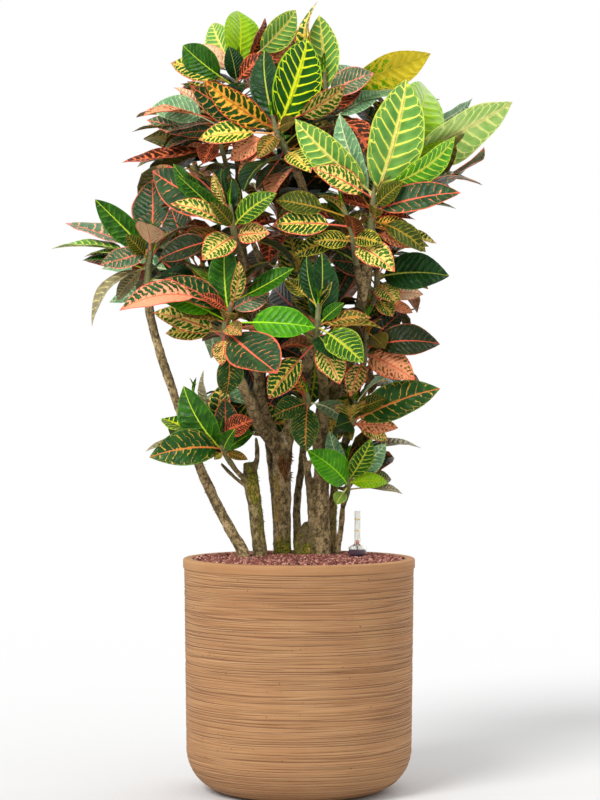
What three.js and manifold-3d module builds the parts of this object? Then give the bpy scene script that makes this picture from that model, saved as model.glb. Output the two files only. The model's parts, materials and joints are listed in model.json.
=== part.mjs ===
// Potted croton: woody trunks whose shoots carry broad, variegated leaves, in a rough clay-coloured pot
// filled with clay granules, with a water gauge. Millimetres, +Z up, front towards -Y. The origin is the
// middle of the pot's underside.
import * as THREE from 'three';
import { mergeVertices } from 'three/addons/utils/BufferGeometryUtils.js';
import Module from 'manifold-3d';

const wasm = await Module();
wasm.setup();

// ---- Driving dimensions ----
const POT_RADIUS = 175; // at the rim band
const POT_HEIGHT = 350;
const POT_WALL = 13;
const POT_FLOOR = 14;
const POT_WAIST_RADIUS = 173.4; // just under the rim band
const POT_LOW_RADIUS = 170; // where the wall turns into the bottom
const POT_BOTTOM_ROUND = 65;
const POT_SEGMENTS = 40;
const RIM_BAND = 15; // height of the smooth band under the rim
const RIM_EDGE = 3; // bevel of the rim's two edges
const GROOVES = [290, 196]; // heights of the wall's broadest brushed grooves
const GROOVE_DEPTH = 0.9;
const GROOVE_HALF = 5;

const GAP = 0.3; // between pieces that touch

const GRANULE_TOP = 346.5;
const GRANULE_RINGS = 10; // rings of pellets from the middle to the pot's wall
const GRANULE_RELIEF = 4.5;

const GAUGE_X = 89; // in the pot, seen from above
const GAUGE_Y = 33;
const GAUGE_TUBE_RADIUS = 4.5;
const GAUGE_GLASS = 1.1; // wall of the clear tube
const GAUGE_BULB_RADIUS = 14;
const GAUGE_SHAFT_RADIUS = 11;
const GAUGE_SHAFT_WALL = 2;
const GAUGE_FLANGE_BOTTOM = 352.5;
const GAUGE_BULB_BOTTOM = 361;
const GAUGE_NECK = 369;
const GAUGE_TOP = 419;
const GAUGE_TOP_EDGE = 0.6; // bevel round the tube's flat top
const GAUGE_SHAFT_BOTTOM = 24;
const GAUGE_FLOAT_RADIUS = 7;
const GAUGE_FLOAT = [60, 118]; // lowest and highest point of the float in the shaft
const GAUGE_PIN_RADIUS = 1.5;
const GAUGE_BEAD_RADIUS = 2.7;
const GAUGE_BEAD = [368.5, 374.5];
const GAUGE_SEGMENTS = 12;

const ROOTING_DEPTH = 118; // how far the trunks stand in the granules
const HOLE_GAP = 0.6; // round a trunk in its hole
const TRUNK_SIDES = 6;
const TWIG_SIDES = 5;
const TWIG_WIDTH = 12; // stems thinner than this are twigs
const CORE_SOCKET = 8; // lowest stretch of a shoot's core that carries no leaf

const PETIOLE_WIDTH = 2.6;
const PETIOLE_THICKNESS = 2.6;
const RIB_THICKNESS = 2; // of a blade along its midrib
const LENGTH_TO_WIDTH = 2.2; // of a full blade
const NARROWEST = 0.38; // of a blade's width to its length
const BLADE_TURN = 0.35; // least turn of a blade about its midrib, radians
const BLADE_ARCH = 0.07; // height of the midrib's bow over its chord, by length
const BLADE_FOLD = 0.24; // how far the halves fold up along the midrib, radians
const WIDE_BLADE = 37; // blades wider than this have a section more
const WIDE_STATIONS = [0.2, 0.5, 0.8]; // sections along a blade, from its base to its tip
const NARROW_STATIONS = [0.3, 0.7];
const CLEARANCE = 2.6; // kept between leaves of two shoots
const DEPTH_STEP = 13; // by which a leaf is bent clear
const DEPTH_TRIES = 8;
const NEAREST_WEIGHT = 0.8; // how much a leaf's root keeps to the core's nearest point, not to even spacing

// The plant's front is read in the pot's middle plane, from an eye this far in front of it and this high.
const EYE_DISTANCE = 3444;
const EYE_HEIGHT = 588;

// Outline of the crown from the front: no leaf that the front doesn't show reaches past it. [x, z]
const CROWN = [
  [-225, 505], [-185, 600], [-150, 598], [-122, 612], [-118, 642], [-138, 672], [-215, 718], [-262, 735],
  [-300, 775], [-335, 850], [-300, 885], [-250, 930], [-245, 985], [-215, 1025], [-185, 1062], [-160, 1118],
  [-92, 1168], [0, 1166], [28, 1172], [62, 1100], [110, 1082], [162, 1066], [196, 1098], [192, 1062],
  [300, 1028], [250, 955], [238, 898], [185, 868], [200, 822], [220, 778], [180, 742], [205, 680],
  [170, 628], [205, 606], [150, 552], [130, 524], [176, 515], [135, 468], [62, 445], [20, 520], [-50, 560],
  [-85, 498], [-125, 500],
];

// Stems: the trunk each belongs to, its route from below or from its fork, and the shoot on its end with
// that shoot's core. A route's point is [x, z, depth, width] as seen from the front.
const STEMS = [
  { trunk: 'trunk_far_left',
    route: [[-84, 355, 17, 20], [-100, 385, 17, 17], [-124, 430, 15, 16], [-151, 490, 12, 15],
      [-179, 570, 8, 14], [-210, 660, 2, 14], [-225, 720, -4, 14], [-228, 752, -8, 13]],
    shoot: 'shoot_far_left', core: [[-228, 780, -10, 11], [-225, 808, -10, 10], [-222, 836, -8, 6]] },
  { trunk: 'trunk_far_left',
    route: [[-151, 490, 12, 12], [-158, 520, 40, 10], [-160, 552, 74, 9]],
    shoot: 'shoot_back_low_left', core: [[-162, 574, 98, 9], [-160, 600, 112, 6]] },
  { trunk: 'trunk_mossy_left',
    route: [[-59, 355, 45, 24], [-63, 395, 44, 22], [-67, 430, 43, 22], [-73, 470, 42, 24],
      [-75, 494, 42, 20]] },
  { trunk: 'trunk_mossy_left', route: [[-74, 462, 42, 10], [-90, 476, 30, 9], [-104, 494, 14, 9]],
    shoot: 'shoot_low_left', core: [[-112, 508, 2, 9], [-116, 520, -6, 9], [-118, 540, -10, 5]] },
  { trunk: 'trunk_mossy_left', route: [[-76, 456, 42, 7], [-96, 470, 42, 6], [-118, 492, 44, 5]] },
  { trunk: 'trunk_mossy_left', route: [[-68, 476, 42, 9], [-63, 504, 34, 8], [-65, 532, 24, 5]] },
  { trunk: 'trunk_main',
    route: [[-25, 355, 89, 28], [-25, 400, 89, 27], [-25, 450, 88, 28], [-25, 500, 86, 30],
      [-16, 538, 80, 22], [0, 572, 66, 20], [8, 612, 52, 20], [14, 652, 42, 19], [20, 700, 34, 18],
      [21, 760, 26, 17], [20, 815, 18, 16], [14, 872, 6, 14], [0, 926, -8, 13], [-12, 950, -14, 12]],
    shoot: 'shoot_top', core: [[-24, 974, -18, 11], [-34, 994, -20, 10], [-40, 1018, -20, 6]] },
  { trunk: 'trunk_main', route: [[-25, 506, 86, 17], [-24, 528, 76, 14]] },
  { trunk: 'trunk_main',
    route: [[-25, 500, 86, 20], [-40, 522, 64, 18], [-60, 550, 30, 18], [-76, 590, -10, 17],
      [-92, 624, -48, 16], [-106, 656, -80, 15], [-110, 674, -92, 13]],
    shoot: 'shoot_front_left', core: [[-112, 696, -106, 11], [-106, 718, -112, 10], [-99, 744, -114, 6]] },
  { trunk: 'trunk_main',
    route: [[-25, 500, 86, 20], [-42, 545, 78, 18], [-57, 585, 58, 17], [-61, 640, 26, 16],
      [-63, 700, -6, 14], [-76, 760, -40, 12], [-90, 812, -70, 11]],
    shoot: 'shoot_left', core: [[-96, 832, -80, 10], [-100, 852, -88, 10], [-104, 884, -92, 6]] },
  { trunk: 'trunk_main',
    route: [[-63, 700, -6, 12], [-50, 740, 6, 10], [-60, 800, 22, 9], [-84, 860, 30, 9],
      [-104, 920, 26, 8], [-114, 958, 20, 8]],
    shoot: 'shoot_upper_left', core: [[-119, 978, 18, 8], [-123, 996, 17, 8], [-126, 1020, 18, 5]] },
  { trunk: 'trunk_main', route: [[0, 566, 66, 10], [8, 572, 36, 9], [12, 578, 8, 9]],
    shoot: 'shoot_inner', core: [[14, 586, -12, 8], [12, 600, -26, 6]] },
  { trunk: 'trunk_behind_main',
    route: [[-31, 362, 132, 16], [-36, 440, 132, 15], [-45, 520, 130, 14], [-60, 620, 124, 13],
      [-75, 740, 122, 12], [-88, 860, 110, 11], [-93, 960, 96, 10], [-94, 1028, 86, 9]],
    shoot: 'shoot_top_back_left', core: [[-94, 1050, 82, 9], [-94, 1070, 80, 8], [-93, 1096, 80, 5]] },
  { trunk: 'trunk_behind_main',
    route: [[-60, 620, 124, 10], [-98, 674, 144, 9], [-132, 720, 160, 8]],
    shoot: 'shoot_back_left', core: [[-142, 742, 166, 8], [-146, 764, 170, 8], [-146, 792, 172, 5]] },
  { trunk: 'trunk_behind_main', route: [[-75, 740, 122, 10], [-56, 790, 150, 9], [-38, 832, 172, 8]],
    shoot: 'shoot_back_middle', core: [[-32, 850, 180, 8], [-30, 872, 184, 8], [-28, 900, 186, 5]] },
  { trunk: 'trunk_behind_main', route: [[-88, 860, 110, 9], [-122, 898, 132, 8], [-146, 924, 146, 8]],
    shoot: 'shoot_back_upper_left', core: [[-156, 940, 152, 8], [-160, 960, 156, 8], [-160, 988, 158, 5]] },
  { trunk: 'trunk_slender_dark',
    route: [[-2, 372, 112, 14], [-3, 430, 112, 12], [4, 490, 116, 12], [10, 560, 130, 11],
      [14, 620, 150, 10], [16, 668, 168, 9]],
    shoot: 'shoot_back_low_middle', core: [[17, 690, 176, 8], [18, 712, 180, 8], [18, 740, 182, 5]] },
  { trunk: 'trunk_right',
    route: [[36, 355, 78, 27], [35, 400, 78, 24], [34, 480, 77, 23], [33, 540, 74, 23], [40, 582, 70, 22],
      [59, 606, 62, 19], [75, 642, 52, 18], [86, 700, 34, 17], [96, 750, 4, 16], [104, 796, -28, 15],
      [107, 824, -44, 14]],
    shoot: 'shoot_right', core: [[109, 846, -54, 12], [112, 880, -60, 11], [114, 916, -60, 6]] },
  { trunk: 'trunk_right',
    route: [[20, 362, 74, 16], [21, 400, 74, 16], [18, 442, 75, 14], [12, 482, 76, 11], [7, 508, 77, 5]] },
  { trunk: 'trunk_right', route: [[15, 462, 75, 9], [16, 486, 74, 6], [20, 504, 74, 4]] },
  { trunk: 'trunk_right', route: [[4, 355, 82, 26], [5, 372, 82, 26], [8, 388, 81, 20], [15, 402, 79, 14]] },
  { trunk: 'trunk_right',
    route: [[38, 570, 72, 18], [37, 606, 34, 16], [33, 636, -18, 15], [28, 662, -68, 13]],
    shoot: 'shoot_front_middle', core: [[27, 680, -100, 11], [28, 704, -116, 10], [29, 734, -120, 6]] },
  { trunk: 'trunk_right', route: [[96, 750, 4, 12], [90, 776, -26, 11], [86, 796, -48, 10]],
    shoot: 'shoot_centre', core: [[84, 814, -64, 10], [80, 840, -74, 9], [66, 884, -80, 6]] },
  { trunk: 'trunk_right', route: [[86, 700, 34, 11], [104, 722, 34, 10], [112, 736, 32, 9]],
    shoot: 'shoot_middle_right', core: [[116, 752, 30, 9], [118, 774, 28, 9], [118, 800, 26, 5]] },
  { trunk: 'trunk_right', route: [[86, 700, 34, 11], [100, 742, 78, 10], [108, 786, 118, 9]],
    shoot: 'shoot_back_right', core: [[110, 806, 132, 8], [112, 828, 140, 8], [112, 856, 144, 5]] },
  { trunk: 'trunk_right', route: [[96, 750, 4, 11], [84, 810, 36, 10], [70, 870, 66, 10], [56, 946, 86, 9],
    [48, 1002, 92, 9]],
    shoot: 'shoot_top_back_right', core: [[44, 1024, 92, 8], [41, 1050, 90, 8], [38, 1084, 88, 5]] },
  { trunk: 'trunk_right', route: [[70, 870, 66, 9], [102, 902, 100, 8], [128, 926, 128, 8]],
    shoot: 'shoot_back_upper_right', core: [[138, 942, 138, 8], [144, 962, 144, 8], [146, 990, 146, 5]] },
  { trunk: 'trunk_mossy_right',
    route: [[50, 362, 118, 15], [52, 440, 116, 13], [57, 480, 108, 13], [72, 532, 84, 12],
      [82, 582, 62, 11], [92, 622, 40, 10]],
    shoot: 'shoot_low_right', core: [[97, 642, 28, 10], [101, 668, 18, 9], [103, 704, 12, 5]] },
  { trunk: 'trunk_mossy_right', route: [[66, 508, 96, 10], [72, 524, 62, 9], [76, 534, 38, 9]],
    shoot: 'shoot_lowest_right', core: [[78, 544, 22, 9], [81, 562, 12, 8], [84, 588, 8, 5]] },
  { trunk: 'trunk_mossy_right', route: [[72, 532, 84, 10], [90, 574, 116, 9], [104, 614, 142, 8]],
    shoot: 'shoot_back_low_right', core: [[108, 632, 152, 8], [110, 654, 158, 8], [110, 682, 162, 5]] },
  { trunk: 'trunk_slender_light',
    route: [[58, 358, 88, 11], [64, 400, 74, 9], [67, 430, 54, 9], [71, 442, 44, 9]],
    shoot: 'shoot_small_right', core: [[74, 452, 34, 8], [74, 468, 26, 8], [74, 494, 22, 5]] },
];

// Leaves read from the front, by shoot: [x and z where the blade shows first, x and z of its tip, width,
// lean of the tip (-1 to the front, 1 to the back), arch]. Lean and arch may be left out.
const LEAVES = {
  shoot_top: [
    [-25, 1010, 13, 1135, 75, 0.5], [-39, 1005, -53, 1117, 45, 0.7], [-50, 1003, -143, 1070, 45, -0.5],
    [-50, 1000, -165, 1062, 45, 0.2], [-52, 1000, -3, 1010, 25, -0.8], [-32, 958, 18, 932, 38, -0.8],
    [-35, 990, -62, 953, 30, -0.8], [-85, 985, -152, 982, 38, -0.4], [-68, 980, -104, 950, 35, -0.2],
    [-85, 960, -93, 925, 20, 0.3], [-75, 940, -65, 905, 26, -0.1, -0.04], [22, 1018, 70, 1063, 35, 0.2],
  ],
  shoot_top_back_left: [
    [-135, 1070, -176, 1124, 52, 0.3, 0.1], [-97, 1070, -106, 1123, 33, -0.3],
    [-115, 1095, -167, 1118, 40, -0.4], [-95, 1065, -28, 1103, 35, -0.4, 0.3],
    [-79, 1085, -92, 1177, 60, 0.6, 0.14], [-92, 1100, -132, 1158, 45, 0.4],
    [-40, 1117, -4, 1177, 45, 0.3, 0.14], [-60, 1120, -50, 1165, 20, 0.8],
  ],
  shoot_top_back_right: [
    [55, 1060, 30, 1170, 55, 0.3, -0.04], [42, 1075, 26, 1190, 22, 0.7, 0.18],
    [35, 1100, -12, 1132, 24, -0.3], [34, 1050, 113, 1082, 45, -0.2], [62, 1020, 98, 1070, 35, -0.5],
    [70, 1015, 125, 1052, 35, -0.6], [100, 1050, 200, 1110, 54, 0.3, -0.04],
  ],
  shoot_right: [
    [125, 910, 163, 1073, 86, 0.1], [108, 912, -7, 1012, 55, -0.2], [112, 912, 60, 1020, 40, 0.4],
    [150, 925, 237, 986, 38, -0.1, 0.14], [175, 935, 190, 1066, 88, 1.4, 0.18],
    [190, 931, 277, 915, 21, 0.3, 0.1], [175, 930, 256, 990, 46, 1.2],
    [215, 948, 281, 967, 22, 1.8], [205, 968, 325, 1036, 66, 0.8, -0.04],
    [121, 877, 244, 902, 46, -0.5], [113, 864, 167, 854, 22, -0.6], [144, 851, 192, 812, 35, -0.2, 0.18],
    [160, 850, 208, 826, 18, 0.4, 0], [130, 845, 180, 820, 25, -0.6, -0.04],
    [104, 881, 45, 894, 18, -0.6], [104, 887, 158, 918, 30, -0.9], [83, 896, 20, 939, 38, -0.2],
  ],
  shoot_centre: [
    [87, 834, 145, 782, 45, -0.7, 0.14], [87, 839, 126, 825, 30, -0.5], [83, 839, 22, 828, 30, -0.7],
    [53, 834, -8, 807, 32, -0.4], [27, 912, -36, 890, 38, -0.2], [35, 867, -40, 853, 42, -0.3],
    [27, 819, -46, 834, 25, 0.3],
  ],
  shoot_upper_left: [
    [-145, 1033, -224, 1029, 45, -0.3, 0.18], [-150, 985, -230, 1012, 35, -0.1, -0.04],
    [-165, 965, -267, 949, 23, 0, -0.04], [-130, 990, -183, 990, 25, -0.8],
    [-160, 980, -145, 945, 35, -0.4], [-160, 1060, -189, 1061, 20, 0.5], [-155, 950, -182, 958, 20, 0.2],
  ],
  shoot_left: [
    [-105, 854, -183, 926, 35, -0.6, -0.04], [-125, 875, -223, 934, 62, -0.2],
    [-116, 855, -194, 885, 26, -0.8], [-102, 851, -34, 901, 38, -0.5, 0.14],
    [-116, 884, -130, 932, 18, -0.3], [-108, 893, -118, 938, 18, 0.3], [-80, 869, -102, 922, 30, 0.5],
    [-106, 857, -133, 887, 25, -0.9], [-133, 855, -208, 881, 20, 0.6], [-121, 925, -191, 944, 25, 1.3],
    [-165, 951, -217, 940, 20, 1.6, -0.04], [-94, 831, -44, 840, 35, -0.4],
    [-97, 836, -146, 800, 45, -0.7], [-160, 830, -213, 800, 40, 0.3],
  ],
  shoot_far_left: [
    [-225, 822, -309, 891, 44, -0.2, -0.04], [-255, 822, -353, 857, 30, 0.3, 0],
    [-285, 825, -373, 819, 15, 0.5, 0.04], [-230, 815, -300, 793, 35, -0.4, -0.04],
    [-205, 799, -262, 838, 26, -0.7], [-246, 799, -314, 700, 20, -0.1, 0.18],
    [-249, 797, -276, 738, 26, -0.3], [-203, 821, -232, 856, 45, -0.7], [-205, 800, -245, 770, 30, 0.3],
    [-212, 850, -222, 922, 64, 0.4, -0.04],
  ],
  shoot_front_left: [
    [-96, 731, -112, 826, 46, 0.3], [-120, 735, -202, 772, 40, -0.3], [-90, 734, -90, 798, 22, 0.1],
    [-99, 724, -44, 750, 40, 0.2], [-147, 722, -217, 751, 38, -0.1], [-138, 675, -220, 721, 38, 0.1],
    [-114, 728, -151, 748, 18, -0.8], [-120, 708, -87, 686, 30, -0.6], [-96, 678, -117, 640, 28, -0.5],
    [-79, 692, -33, 630, 73, -0.9, -0.04], [-51, 695, 25, 698, 50, -0.5],
    [-74, 754, -8, 788, 30, 0.3, -0.04], [-92, 650, -110, 595, 42, 0, 0.18],
    [-197, 762, -271, 725, 38, -0.1, 0.18],
  ],
  shoot_front_middle: [
    [28, 708, 35, 810, 49, 0.4], [15, 735, 11, 806, 24, 0.2], [30, 712, 68, 735, 22, -0.3],
    [26, 707, 109, 713, 24, -0.4], [16, 691, 55, 648, 38, -0.7], [45, 700, 90, 670, 30, -0.6],
    [59, 706, 97, 645, 50, -0.2], [32, 660, 62, 612, 45, -0.5], [-4, 737, -22, 770, 25, 0.2],
    [-22, 655, -46, 590, 45, -0.2],
  ],
  shoot_middle_right: [
    [115, 788, 227, 776, 61, -0.3, 0.14], [96, 796, 47, 799, 48, -0.2], [115, 769, 150, 733, 38, -0.8],
    [130, 738, 188, 748, 28, 0.1], [121, 703, 172, 720, 20, -0.1, -0.04], [106, 730, 142, 714, 30, -0.4],
  ],
  shoot_low_right: [
    [105, 690, 213, 673, 52, -0.3, 0.18], [102, 708, 130, 666, 35, -0.5], [100, 668, 175, 619, 50, -0.6],
    [102, 640, 77, 593, 34, -0.7],
  ],
  shoot_lowest_right: [
    [85, 565, 213, 606, 58, -0.3, 0.1], [77, 579, 133, 591, 28, -0.6], [87, 558, 150, 546, 30, -0.4],
    [95, 550, 135, 527, 25, -0.2], [77, 564, 57, 548, 35, -0.5],
  ],
  shoot_small_right: [
    [73, 468, 13, 512, 49, -0.5, 0.18], [73, 468, 45, 542, 30, 0.1],
    [73, 468, 132, 522, 39, -0.4, -0.04], [73, 468, 110, 530, 35, 0.3],
    [73, 468, 135, 463, 26, -0.5, 0.18], [112, 482, 140, 469, 25, 0.1],
    [112, 525, 184, 517, 13, 0.5, 0.14], [54, 463, 56, 430, 22, -0.4],
  ],
  shoot_low_left: [
    [-117, 516, -175, 609, 56, 0.2, 0.18], [-117, 516, -226, 502, 57, -0.3, 0.18],
    [-115, 522, -112, 591, 40, 0.1], [-113, 545, -70, 558, 35, -0.3], [-117, 516, -97, 544, 25, -0.6],
    [-117, 516, -68, 540, 22, -0.5], [-179, 539, -208, 562, 28, 0.3, -0.04],
    [-117, 516, -117, 614, 40, 0.6],
  ],
  shoot_inner: [
    [6, 580, -39, 564, 38, -0.3], [14, 571, 11, 510, 45, -0.2], [0, 600, -18, 636, 18, 0.2],
  ],
};

// Leaves that the front hides, by shoot: how many, the heading they spread about, seen from above, and
// the angle of that spread, in degrees.
const HIDDEN_LEAVES = {
  shoot_top: [4, 80, 200], shoot_top_back_left: [4, 105, 230], shoot_top_back_right: [4, 75, 230],
  shoot_right: [3, 60, 180], shoot_centre: [2, 75, 120], shoot_upper_left: [4, 110, 180],
  shoot_left: [2, 110, 150], shoot_far_left: [5, 120, 220], shoot_front_left: [2, 110, 140],
  shoot_front_middle: [2, 80, 140], shoot_middle_right: [4, 60, 200], shoot_low_right: [4, 60, 200],
  shoot_lowest_right: [3, 70, 180], shoot_small_right: [3, 80, 180], shoot_low_left: [4, 110, 200],
  shoot_inner: [3, 90, 200],
  shoot_back_low_left: [9, 110, 360], shoot_back_left: [10, 110, 360], shoot_back_middle: [10, 90, 360],
  shoot_back_upper_left: [10, 110, 360], shoot_back_low_middle: [10, 90, 360],
  shoot_back_right: [10, 70, 360], shoot_back_upper_right: [10, 70, 360],
  shoot_back_low_right: [10, 70, 360],
};
const GOLDEN_SHARE = 0.618034; // spreads successive leaves evenly round a core
const HIDDEN_LENGTH = [105, 160];
const HIDDEN_WIDTH = [0.38, 0.48]; // by length
const HIDDEN_RISE = [-28, 62]; // of the lowest and the highest leaf over level, degrees
const HIDDEN_ARCH = 0.14;
const HIDDEN_TRIES = [[0, 0], [14, 0], [-14, 0], [0, 16], [0, -16], [26, 10], [-26, 10], [40, -8], [-40, -8]];
const HIDDEN_SCALES = [1, 0.82, 0.66];
const INSIDE_SHARES = [0.45, 0.7]; // places along a leaf, by its length, that are held to the crown's outline
const COVER_SHARES = [0.4, 0.6, 0.8, 1]; // and that are kept behind the leaves read from the front
const SHOWN_SHARES = [0.3, 0.4, 0.5, 0.6, 0.7, 0.8, 0.9]; // places where such a leaf counts as it is wide

// Colours seen on the plant
const CLAY = 0xc69a6c;
const GRANULES = 0xa45a4c;
const CLEAR = 0xdfe4dc;
const DARK_PLASTIC = 0x3a2230;
const RED_PLASTIC = 0xd22f2a;
const BARK = { trunk_far_left: 0x6e6248, trunk_mossy_left: 0x6b6a30, trunk_main: 0x7d6e50,
  trunk_behind_main: 0x554a38, trunk_slender_dark: 0x4b4234, trunk_right: 0x73664a,
  trunk_mossy_right: 0x50502a, trunk_slender_light: 0x8a7c5c };
const FOLIAGE = [0x4f8a1e, 0x2f5a2c, 0x8a9a3c, 0x3d6a3a, 0xa86a48, 0x5c7f2a, 0x33513a, 0xb59a4c];

const part = new THREE.Group();

function addMesh(name, geometry, colour, roughness) {
  const mesh = new THREE.Mesh(geometry, new THREE.MeshStandardMaterial({ color: colour, roughness }));
  mesh.name = name;
  part.add(mesh);
  return mesh;
}

// ---- Small vector sums on [x, y, z] ----
const plus = (a, b) => [a[0] + b[0], a[1] + b[1], a[2] + b[2]];
const minus = (a, b) => [a[0] - b[0], a[1] - b[1], a[2] - b[2]];
const times = (a, k) => [a[0] * k, a[1] * k, a[2] * k];
const dot = (a, b) => a[0] * b[0] + a[1] * b[1] + a[2] * b[2];
const cross = (a, b) => [a[1] * b[2] - a[2] * b[1], a[2] * b[0] - a[0] * b[2], a[0] * b[1] - a[1] * b[0]];
const unit = (a) => times(a, 1 / Math.sqrt(dot(a, a)));
const span = (a, b) => Math.sqrt(dot(minus(b, a), minus(b, a)));
const between = (a, b, share) => plus(a, times(minus(b, a), share));
const mixed = (a, b, share) => a + (b - a) * share;
const radians = (degrees) => degrees * Math.PI / 180;
const clamp = (value, low, high) => Math.min(high, Math.max(low, value));

// The place at a depth that covers a reading of the front.
function seen(x, z, depth) {
  const scale = (EYE_DISTANCE + depth) / EYE_DISTANCE;
  return [x * scale, depth, EYE_HEIGHT + (z - EYE_HEIGHT) * scale];
}

// Draws between 0 and 1, the same every time.
function draws(seed) {
  let state = seed;
  return () => {
    state = (state * 1664525 + 1013904223) % 4294967296;
    return state / 4294967296;
  };
}

// ---- Closed bodies ----
// Rings of equal count, each anticlockwise about the way on, joined and closed by a flat end or by a tip.
// The quads of both halves of a ring are split alike, so the two faces of a thin body can't cross.
function loft(rings, tip) {
  const sides = rings[0].length;
  const points = rings.flat();
  const faces = [];
  for (let side = 1; side + 1 < sides; side += 1) faces.push([0, side + 1, side]);
  for (let ring = 0; ring + 1 < rings.length; ring += 1) {
    for (let side = 0; side < sides; side += 1) {
      const a = ring * sides + side;
      const b = ring * sides + (side + 1) % sides;
      const [c, d] = [b + sides, a + sides];
      if (side < sides / 2) faces.push([a, b, c], [a, c, d]);
      else faces.push([a, b, d], [b, c, d]);
    }
  }
  const last = (rings.length - 1) * sides;
  if (tip) {
    points.push(tip);
    for (let side = 0; side < sides; side += 1) {
      faces.push([last + side, last + (side + 1) % sides, points.length - 1]);
    }
  } else {
    for (let side = 1; side + 1 < sides; side += 1) faces.push([last, last + side, last + side + 1]);
  }
  return solid(points.flat(), faces.flat());
}

function solid(coordinates, corners) {
  return new wasm.Manifold(new wasm.Mesh({
    numProp: 3, vertProperties: new Float32Array(coordinates), triVerts: new Uint32Array(corners),
  }));
}

function solidOf(geometry) {
  const bare = geometry.clone();
  bare.deleteAttribute('normal');
  bare.deleteAttribute('uv');
  const merged = mergeVertices(bare, 1e-4);
  return solid(merged.attributes.position.array, merged.index.array);
}

function geometryOf(body) {
  const { vertProperties, triVerts } = body.getMesh();
  const geometry = new THREE.BufferGeometry();
  geometry.setAttribute('position', new THREE.BufferAttribute(vertProperties, 3));
  geometry.setIndex(new THREE.BufferAttribute(triVerts, 1));
  geometry.computeVertexNormals();
  return geometry;
}

function turned(profile, segments) {
  const geometry = new THREE.LatheGeometry(profile.map(([r, z]) => new THREE.Vector2(r, z)), segments);
  return geometry.rotateX(Math.PI / 2);
}

function arc(centreR, centreZ, radius, fromDegrees, toDegrees, steps) {
  return Array.from({ length: steps + 1 }, (_, step) => {
    const angle = radians(fromDegrees + (toDegrees - fromDegrees) * step / steps);
    return [centreR + radius * Math.cos(angle), centreZ + radius * Math.sin(angle)];
  });
}

// ---- Pot ----
const wallRadius = (z) => POT_LOW_RADIUS
  + (POT_WAIST_RADIUS - POT_LOW_RADIUS) * (z - POT_BOTTOM_ROUND) / (POT_HEIGHT - RIM_BAND - POT_BOTTOM_ROUND);
const innerRadius = (z) => wallRadius(z) - POT_WALL;
const INNER_ROUND = POT_BOTTOM_ROUND - POT_WALL;
const innerBottom = () => arc(innerRadius(POT_BOTTOM_ROUND) - INNER_ROUND, POT_FLOOR + INNER_ROUND,
  INNER_ROUND, 0, -90, 4);

function makePot() {
  const grooves = [...GROOVES].reverse().flatMap((z) => [
    [wallRadius(z - GROOVE_HALF), z - GROOVE_HALF], [wallRadius(z) - GROOVE_DEPTH, z],
    [wallRadius(z + GROOVE_HALF), z + GROOVE_HALF],
  ]);
  const bandBottom = POT_HEIGHT - RIM_BAND;
  const profile = [
    [0, 0],
    ...arc(POT_LOW_RADIUS - POT_BOTTOM_ROUND, POT_BOTTOM_ROUND, POT_BOTTOM_ROUND, -90, 0, 6),
    ...grooves,
    [wallRadius(bandBottom), bandBottom], [POT_RADIUS, bandBottom + 1.5],
    [POT_RADIUS, POT_HEIGHT - RIM_EDGE], [POT_RADIUS - RIM_EDGE, POT_HEIGHT],
    [innerRadius(POT_HEIGHT) + RIM_EDGE, POT_HEIGHT], [innerRadius(POT_HEIGHT), POT_HEIGHT - RIM_EDGE],
    ...innerBottom(),
    [0, POT_FLOOR],
  ];
  addMesh('pot', turned(profile, POT_SEGMENTS), CLAY, 0.85);
}

// ---- Stems: trunks with their branches, and the cores of the shoots ----
function ring(centre, along, width, sides) {
  const across = unit(cross([0, 1, 0], along));
  const up = cross(along, across);
  return Array.from({ length: sides }, (_, side) => {
    const angle = 2 * Math.PI * side / sides;
    const out = plus(times(across, Math.cos(angle)), times(up, Math.sin(angle)));
    return plus(centre, times(out, width / 2));
  });
}

// The way a line of points runs at one of them.
function heading(points, index) {
  const before = points[Math.max(0, index - 1)];
  const after = points[Math.min(points.length - 1, index + 1)];
  return unit(minus(after, before));
}

// A stem's whole line, from its root or fork to the top of its shoot: places, widths and ways on.
function lineOf(stem) {
  const rows = [...stem.route, ...(stem.core ?? [])];
  const places = rows.map(([x, z, depth]) => seen(x, z, depth));
  const widths = rows.map((row) => row[3]);
  const ways = places.map((_, index) => heading(places, index));
  return { places, widths, ways, end: stem.route.length - 1 };
}

function tube(places, ways, widths, sides) {
  return loft(places.map((place, index) => ring(place, ways[index], widths[index], sides)));
}

const sidesOf = (widths) => (Math.max(...widths) < TWIG_WIDTH ? TWIG_SIDES : TRUNK_SIDES);

// The stretch of a stem's line up to its end, with the rooted length where it stands in the granules.
function stemBody(stem, swell = 0) {
  const { places, widths, ways, end } = lineOf(stem);
  const [line, on, wide] = [places.slice(0, end + 1), ways.slice(0, end + 1), widths.slice(0, end + 1)];
  if (stem.core) line[end] = minus(line[end], times(on[end], GAP / 2));
  if (rooted(stem)) {
    on[0] = [0, 0, 1];
    line.unshift(minus(line[0], [0, 0, ROOTING_DEPTH]));
    on.unshift([0, 0, 1]);
    wide.unshift(wide[0] * 0.7);
  }
  return tube(line, on, wide.map((width) => width + swell), sidesOf(wide));
}

function rooted(stem) {
  return stem.route[0][1] < 380;
}

function coreBody(stem) {
  const { places, widths, ways, end } = lineOf(stem);
  const [line, on, wide] = [places.slice(end), ways.slice(end), widths.slice(end)];
  line[0] = plus(line[0], times(on[0], GAP / 2));
  return tube(line, on, wide, TWIG_SIDES);
}

// ---- Leaves ----
// A leaf is a petiole and a pointed blade on an arched midrib, with its halves folded up along it.
function makeLeaf(root, tip, side, width, petiole, arch, twist) {
  const along = unit(minus(tip, root));
  const normal = cross(along, side);
  return { root, length: span(root, tip), along, side, normal, width, petiole, arch, twist };
}

function midrib(leaf, share) {
  const bow = leaf.arch * leaf.length * 4 * share * (1 - share);
  return plus(plus(leaf.root, times(leaf.along, leaf.length * share)), times(leaf.normal, bow));
}

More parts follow.
